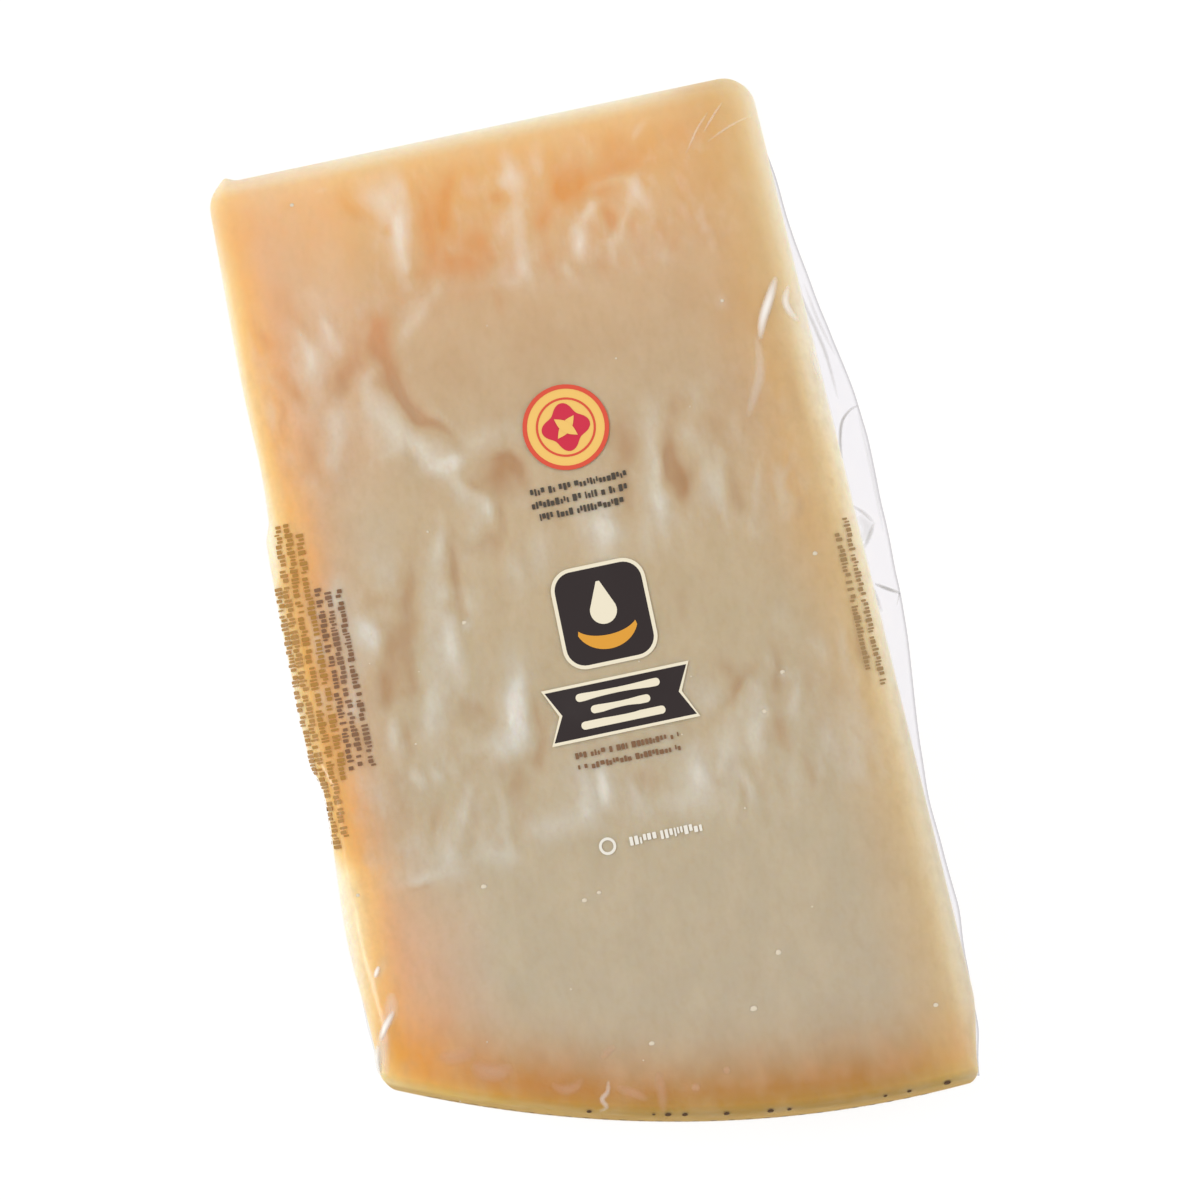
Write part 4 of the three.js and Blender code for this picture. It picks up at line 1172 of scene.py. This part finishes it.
crease = {
    "steps": 8, "lift": 0.04, "narrowest": 0.4, "sideFade": 1.5, "endFade": 0.6, "roughness": 0.25,
    # painted hues: a highlight along creases, a pale sheen on the heel's wrinkles, grey shade along the
    # seam's folds
    "creaseGlintHue": "FBF7F0", "wrinkleSheenHue": "E2B896", "foldShadeHue": "A9A7A4",
}


def creaseOf(surface, corners, halfWidth, height, strength):
    # a low ridge along the path that fades out towards its sides and ends
    path = smoothPath(corners)
    steps = crease["steps"]
    spots, faces, fade = [], [], []
    for n, spot in enumerate(path):
        ahead = path[min(n + 1, len(path) - 1)] - path[max(n - 1, 0)]
        across = Vector((-ahead.y, ahead.x)).normalized()
        taper = math.sin(math.pi * (n + 0.6) / (len(path) + 0.2)) ** crease["endFade"]
        width = halfWidth * (crease["narrowest"] + (1 - crease["narrowest"]) * taper)
        for step in range(steps + 1):
            offset = 2 * step / steps - 1
            share = taper * (1 - offset**2) ** crease["sideFade"]
            side = spot + across * (width * offset)
            spots += drop(surface, [(side.x, side.y, 0)], crease["lift"] + height * share, **fromAbove)
            fade.append(strength * share)
    for n in range(len(path) - 1):
        for step in range(steps):
            a = n * (steps + 1) + step
            faces.append([a, a + 1, a + steps + 2, a + steps + 1])
    return spots, faces, fade


def creasedFilm(tree, hexColour):
    # film drawn up into a crease or folded, in its given hue: a painted highlight on the creases, painted
    # sheen on the heel's wrinkles, painted shade on the folds; it fades into the clear film at its sides
    fade = addNode(tree, "Attribute", attribute_name="fade").outputs["Fac"]
    return overClear(tree, toLinear("FFFFFF"), fade, opaqueFinish(tree, hexColour, crease["roughness"]))


# creases whitish with painted highlights, the heel's wrinkles with painted sheen, the seam's folds with
# painted shade
for name, finish, surface, paths, hexColour in (
        ("filmCreaseGlints", "creaseGlintFilm", filmTree, creases, crease["creaseGlintHue"]),
        ("heelWrinkleSheen", "paleWrinkleSheen", filmTree, heelWrinkleSheen, crease["wrinkleSheenHue"]),
        ("seamFolds", "foldShadeFilm", looseTrees["filmSeam"], seamFolds, crease["foldShadeHue"])):
    shapes = [creaseOf(surface, *path) for path in paths]
    creased = newMesh(name, *joined(shapes), newMaterial(finish, creasedFilm, hexColour))
    storeField(creased, "fade", [value for shape in shapes for value in shape[2]])

# White crystals in the paste
crystals = {
    # X, Y and half size of those that catch the eye
    "seen": [
        (-44.1, 99.6, 0.4), (38.5, 61.0, 0.4), (45.5, 6.6, 0.5), (-26.0, 7.5, 0.5), (-32.4, -44.0, 0.6),
        (-57.0, -40.6, 0.4), (-13.6, -50.5, 0.5), (-10.5, -49.6, 0.4), (28.8, -21.9, 0.5),
        (34.0, -15.1, 0.5), (21.3, -67.8, 0.7), (14.3, -77.2, 0.7), (48.8, -83.5, 0.5), (-6.4, -79.6, 0.5)],
    "spread": 20, "halves": (0.15, 0.26), "acrossX": (-52, 48), "alongY": (-96, 100), "seed": 7,
    "stretch": (0.8, 1.2), "thickness": 0.09, "lift": 0.03, "hue": "DCD0BB", "roughness": 0.5,
}


def speckOf(middle, radii, sides=8):
    # a flat octagonal bead
    x, y, z = middle
    spots = [(x, y, z + radii[2])]
    for level, wide in ((0.6, 0.8), (-0.3, 1.0)):
        rim = arcOf((x, y), (wide * radii[0], wide * radii[1]), count=sides)
        spots += [(px, py, z + level * radii[2]) for px, py in rim]
    spots.append((x, y, z - radii[2]))
    faces = []
    for side in range(sides):
        a, b = 1 + side, 1 + (side + 1) % sides
        faces += [[0, a, b], [a, a + sides, b + sides, b], [a + sides, 2 * sides + 1, b + sides]]
    return spots, faces


draw = random.Random(crystals["seed"])
specks = list(crystals["seen"])
for _ in range(crystals["spread"]):
    specks.append([draw.uniform(*crystals[name]) for name in ("acrossX", "alongY", "halves")])
shapes = []
for x, y, half in specks:
    middle = drop(cheeseTree, [(x, y, 0)], crystals["lift"], **fromAbove)[0]
    shapes.append(speckOf(middle, (half * draw.uniform(*crystals["stretch"]), half, crystals["thickness"])))
# tyrosine, grown in the paste: chalky off-white
chalky = newMaterial("tyrosineCrystal", opaqueFinish, crystals["hue"], crystals["roughness"])
newMesh("crystals", *joined(shapes), chalky)

# Dots branded into the rind's face, and dark marks on the heel's top edge.
pinDots = {
    "half": 0.8, "pitch": 3.5, "fromX": -52, "toX": 47, "fromZ": 8, "toZ": 50, "corners": 10, "lift": 0.04,
    "hue": "5A3E1C", "roughness": 0.7, "specular": 0.0,
}
rimSpecks = {
    "seen": [(-20.9, 0.4), (-8.8, 0.25), (-6.1, 0.5), (-2.9, 0.45), (5.0, 0.45), (13.4, 0.5), (17.0, 0.35),
             (35.6, 0.3), (40.3, 0.35), (47.8, 0.55)],  # middle X and half size
    "out": 0.5, "stretch": 1.3, "lift": 0.15,
}
corners = pinDots["corners"]
dotFace = [list(range(corners))]
shapes = []
for x, half in rimSpecks["seen"]:
    y = wedge["heelY"] + heelSag(x, thicknessAt(wedge["heelY"])) - rimSpecks["out"]
    rim = [(px, py, 0) for px, py in arcOf((x, y), (half * rimSpecks["stretch"], half), count=corners)]
    shapes.append((drop(cheeseTree, rim, rimSpecks["lift"], **fromAbove), dotFace))
for row, z in enumerate(np.arange(pinDots["fromZ"], pinDots["toZ"], pinDots["pitch"])):
    firstX = pinDots["fromX"] + row % 2 * pinDots["pitch"] / 2
    for x in np.arange(firstX, pinDots["toX"], pinDots["pitch"]):
        rim = [(px, 0, pz) for px, pz in circleOf((x, z), pinDots["half"], corners)]
        shapes.append((drop(cheeseTree, rim, pinDots["lift"], **fromHeelSide), dotFace))
# burnt rind: dull dark brown
burnt = newMaterial("burntRind", opaqueFinish, *(pinDots[name] for name in ("hue", "roughness", "specular")))
newMesh("rindPinDots", *joined(shapes), burnt)
print("film, crystals and rind dots ready")

# Floor, light and camera
studio = {"floorSize": 4.0, "floorDrop": 0.4, "floorGlow": 0.84, "floorGrey": "828282", "skyStrength": 0.66}


def mattWhiteBoard(tree):
    # a seamless sweep of matt white board, with a faint glow that keeps it pale up to the edge
    matte = addNode(tree, "BsdfDiffuse", {"Color": toLinear(studio["floorGrey"])})
    glow = addNode(tree, "Emission", {"Color": (1, 1, 1, 1), "Strength": studio["floorGlow"]})
    return addNode(tree, "AddShader", {0: matte.outputs[0], 1: glow.outputs[0]})


floorMesh = bpy.data.meshes.new("floor")
half = studio["floorSize"] / 2
corners = [(-half, -half, 0), (half, -half, 0), (half, half, 0), (-half, half, 0)]
floorMesh.from_pydata(corners, [], [(0, 1, 2, 3)])
floorMesh.materials.append(newMaterial("mattWhiteBoard", mattWhiteBoard))
floor = bpy.data.objects.new("floor", floorMesh)
bpy.context.scene.collection.objects.link(floor)
floor.location.z = -studio["floorDrop"] * mm

world = bpy.data.worlds.new("whiteStudio")
bpy.context.scene.world = world
world.use_nodes = True
sky = world.node_tree.nodes["Background"]
sky.inputs["Color"].default_value = (1, 1, 1, 1)
sky.inputs["Strength"].default_value = studio["skyStrength"]

softboxes = {
    "keySoftbox": {"place": Vector((-0.62, 0.2, 0.85)), "size": 0.32, "watts": 4.4},
    "fillSoftbox": {"place": Vector((0.8, 0.0, 0.45)), "size": 0.7, "watts": 2.0},
}
for name, box in softboxes.items():
    lamp = bpy.data.lights.new(name, "AREA")
    lamp.shape, lamp.size, lamp.energy = "SQUARE", box["size"], box["watts"]
    softbox = bpy.data.objects.new(name, lamp)
    bpy.context.scene.collection.objects.link(softbox)
    softbox.location = box["place"]
    softbox.rotation_euler = (-box["place"]).to_track_quat("-Z", "Y").to_euler()

view = {"place": (1.5, 6.4, 745.0), "turn": math.radians(-11.9), "focalShare": 3535 / 1200}
lens = bpy.data.cameras.new("viewer")
lens.sensor_width = 36.0
lens.lens = lens.sensor_width * view["focalShare"]
lens.clip_start, lens.clip_end = 0.01, 20.0
camera = bpy.data.objects.new("viewer", lens)
bpy.context.scene.collection.objects.link(camera)
camera.location = Vector(view["place"]) * mm
camera.rotation_euler = (0, 0, view["turn"])
bpy.context.scene.camera = camera
bpy.context.scene.view_settings.view_transform = "Standard"
print("studio ready")
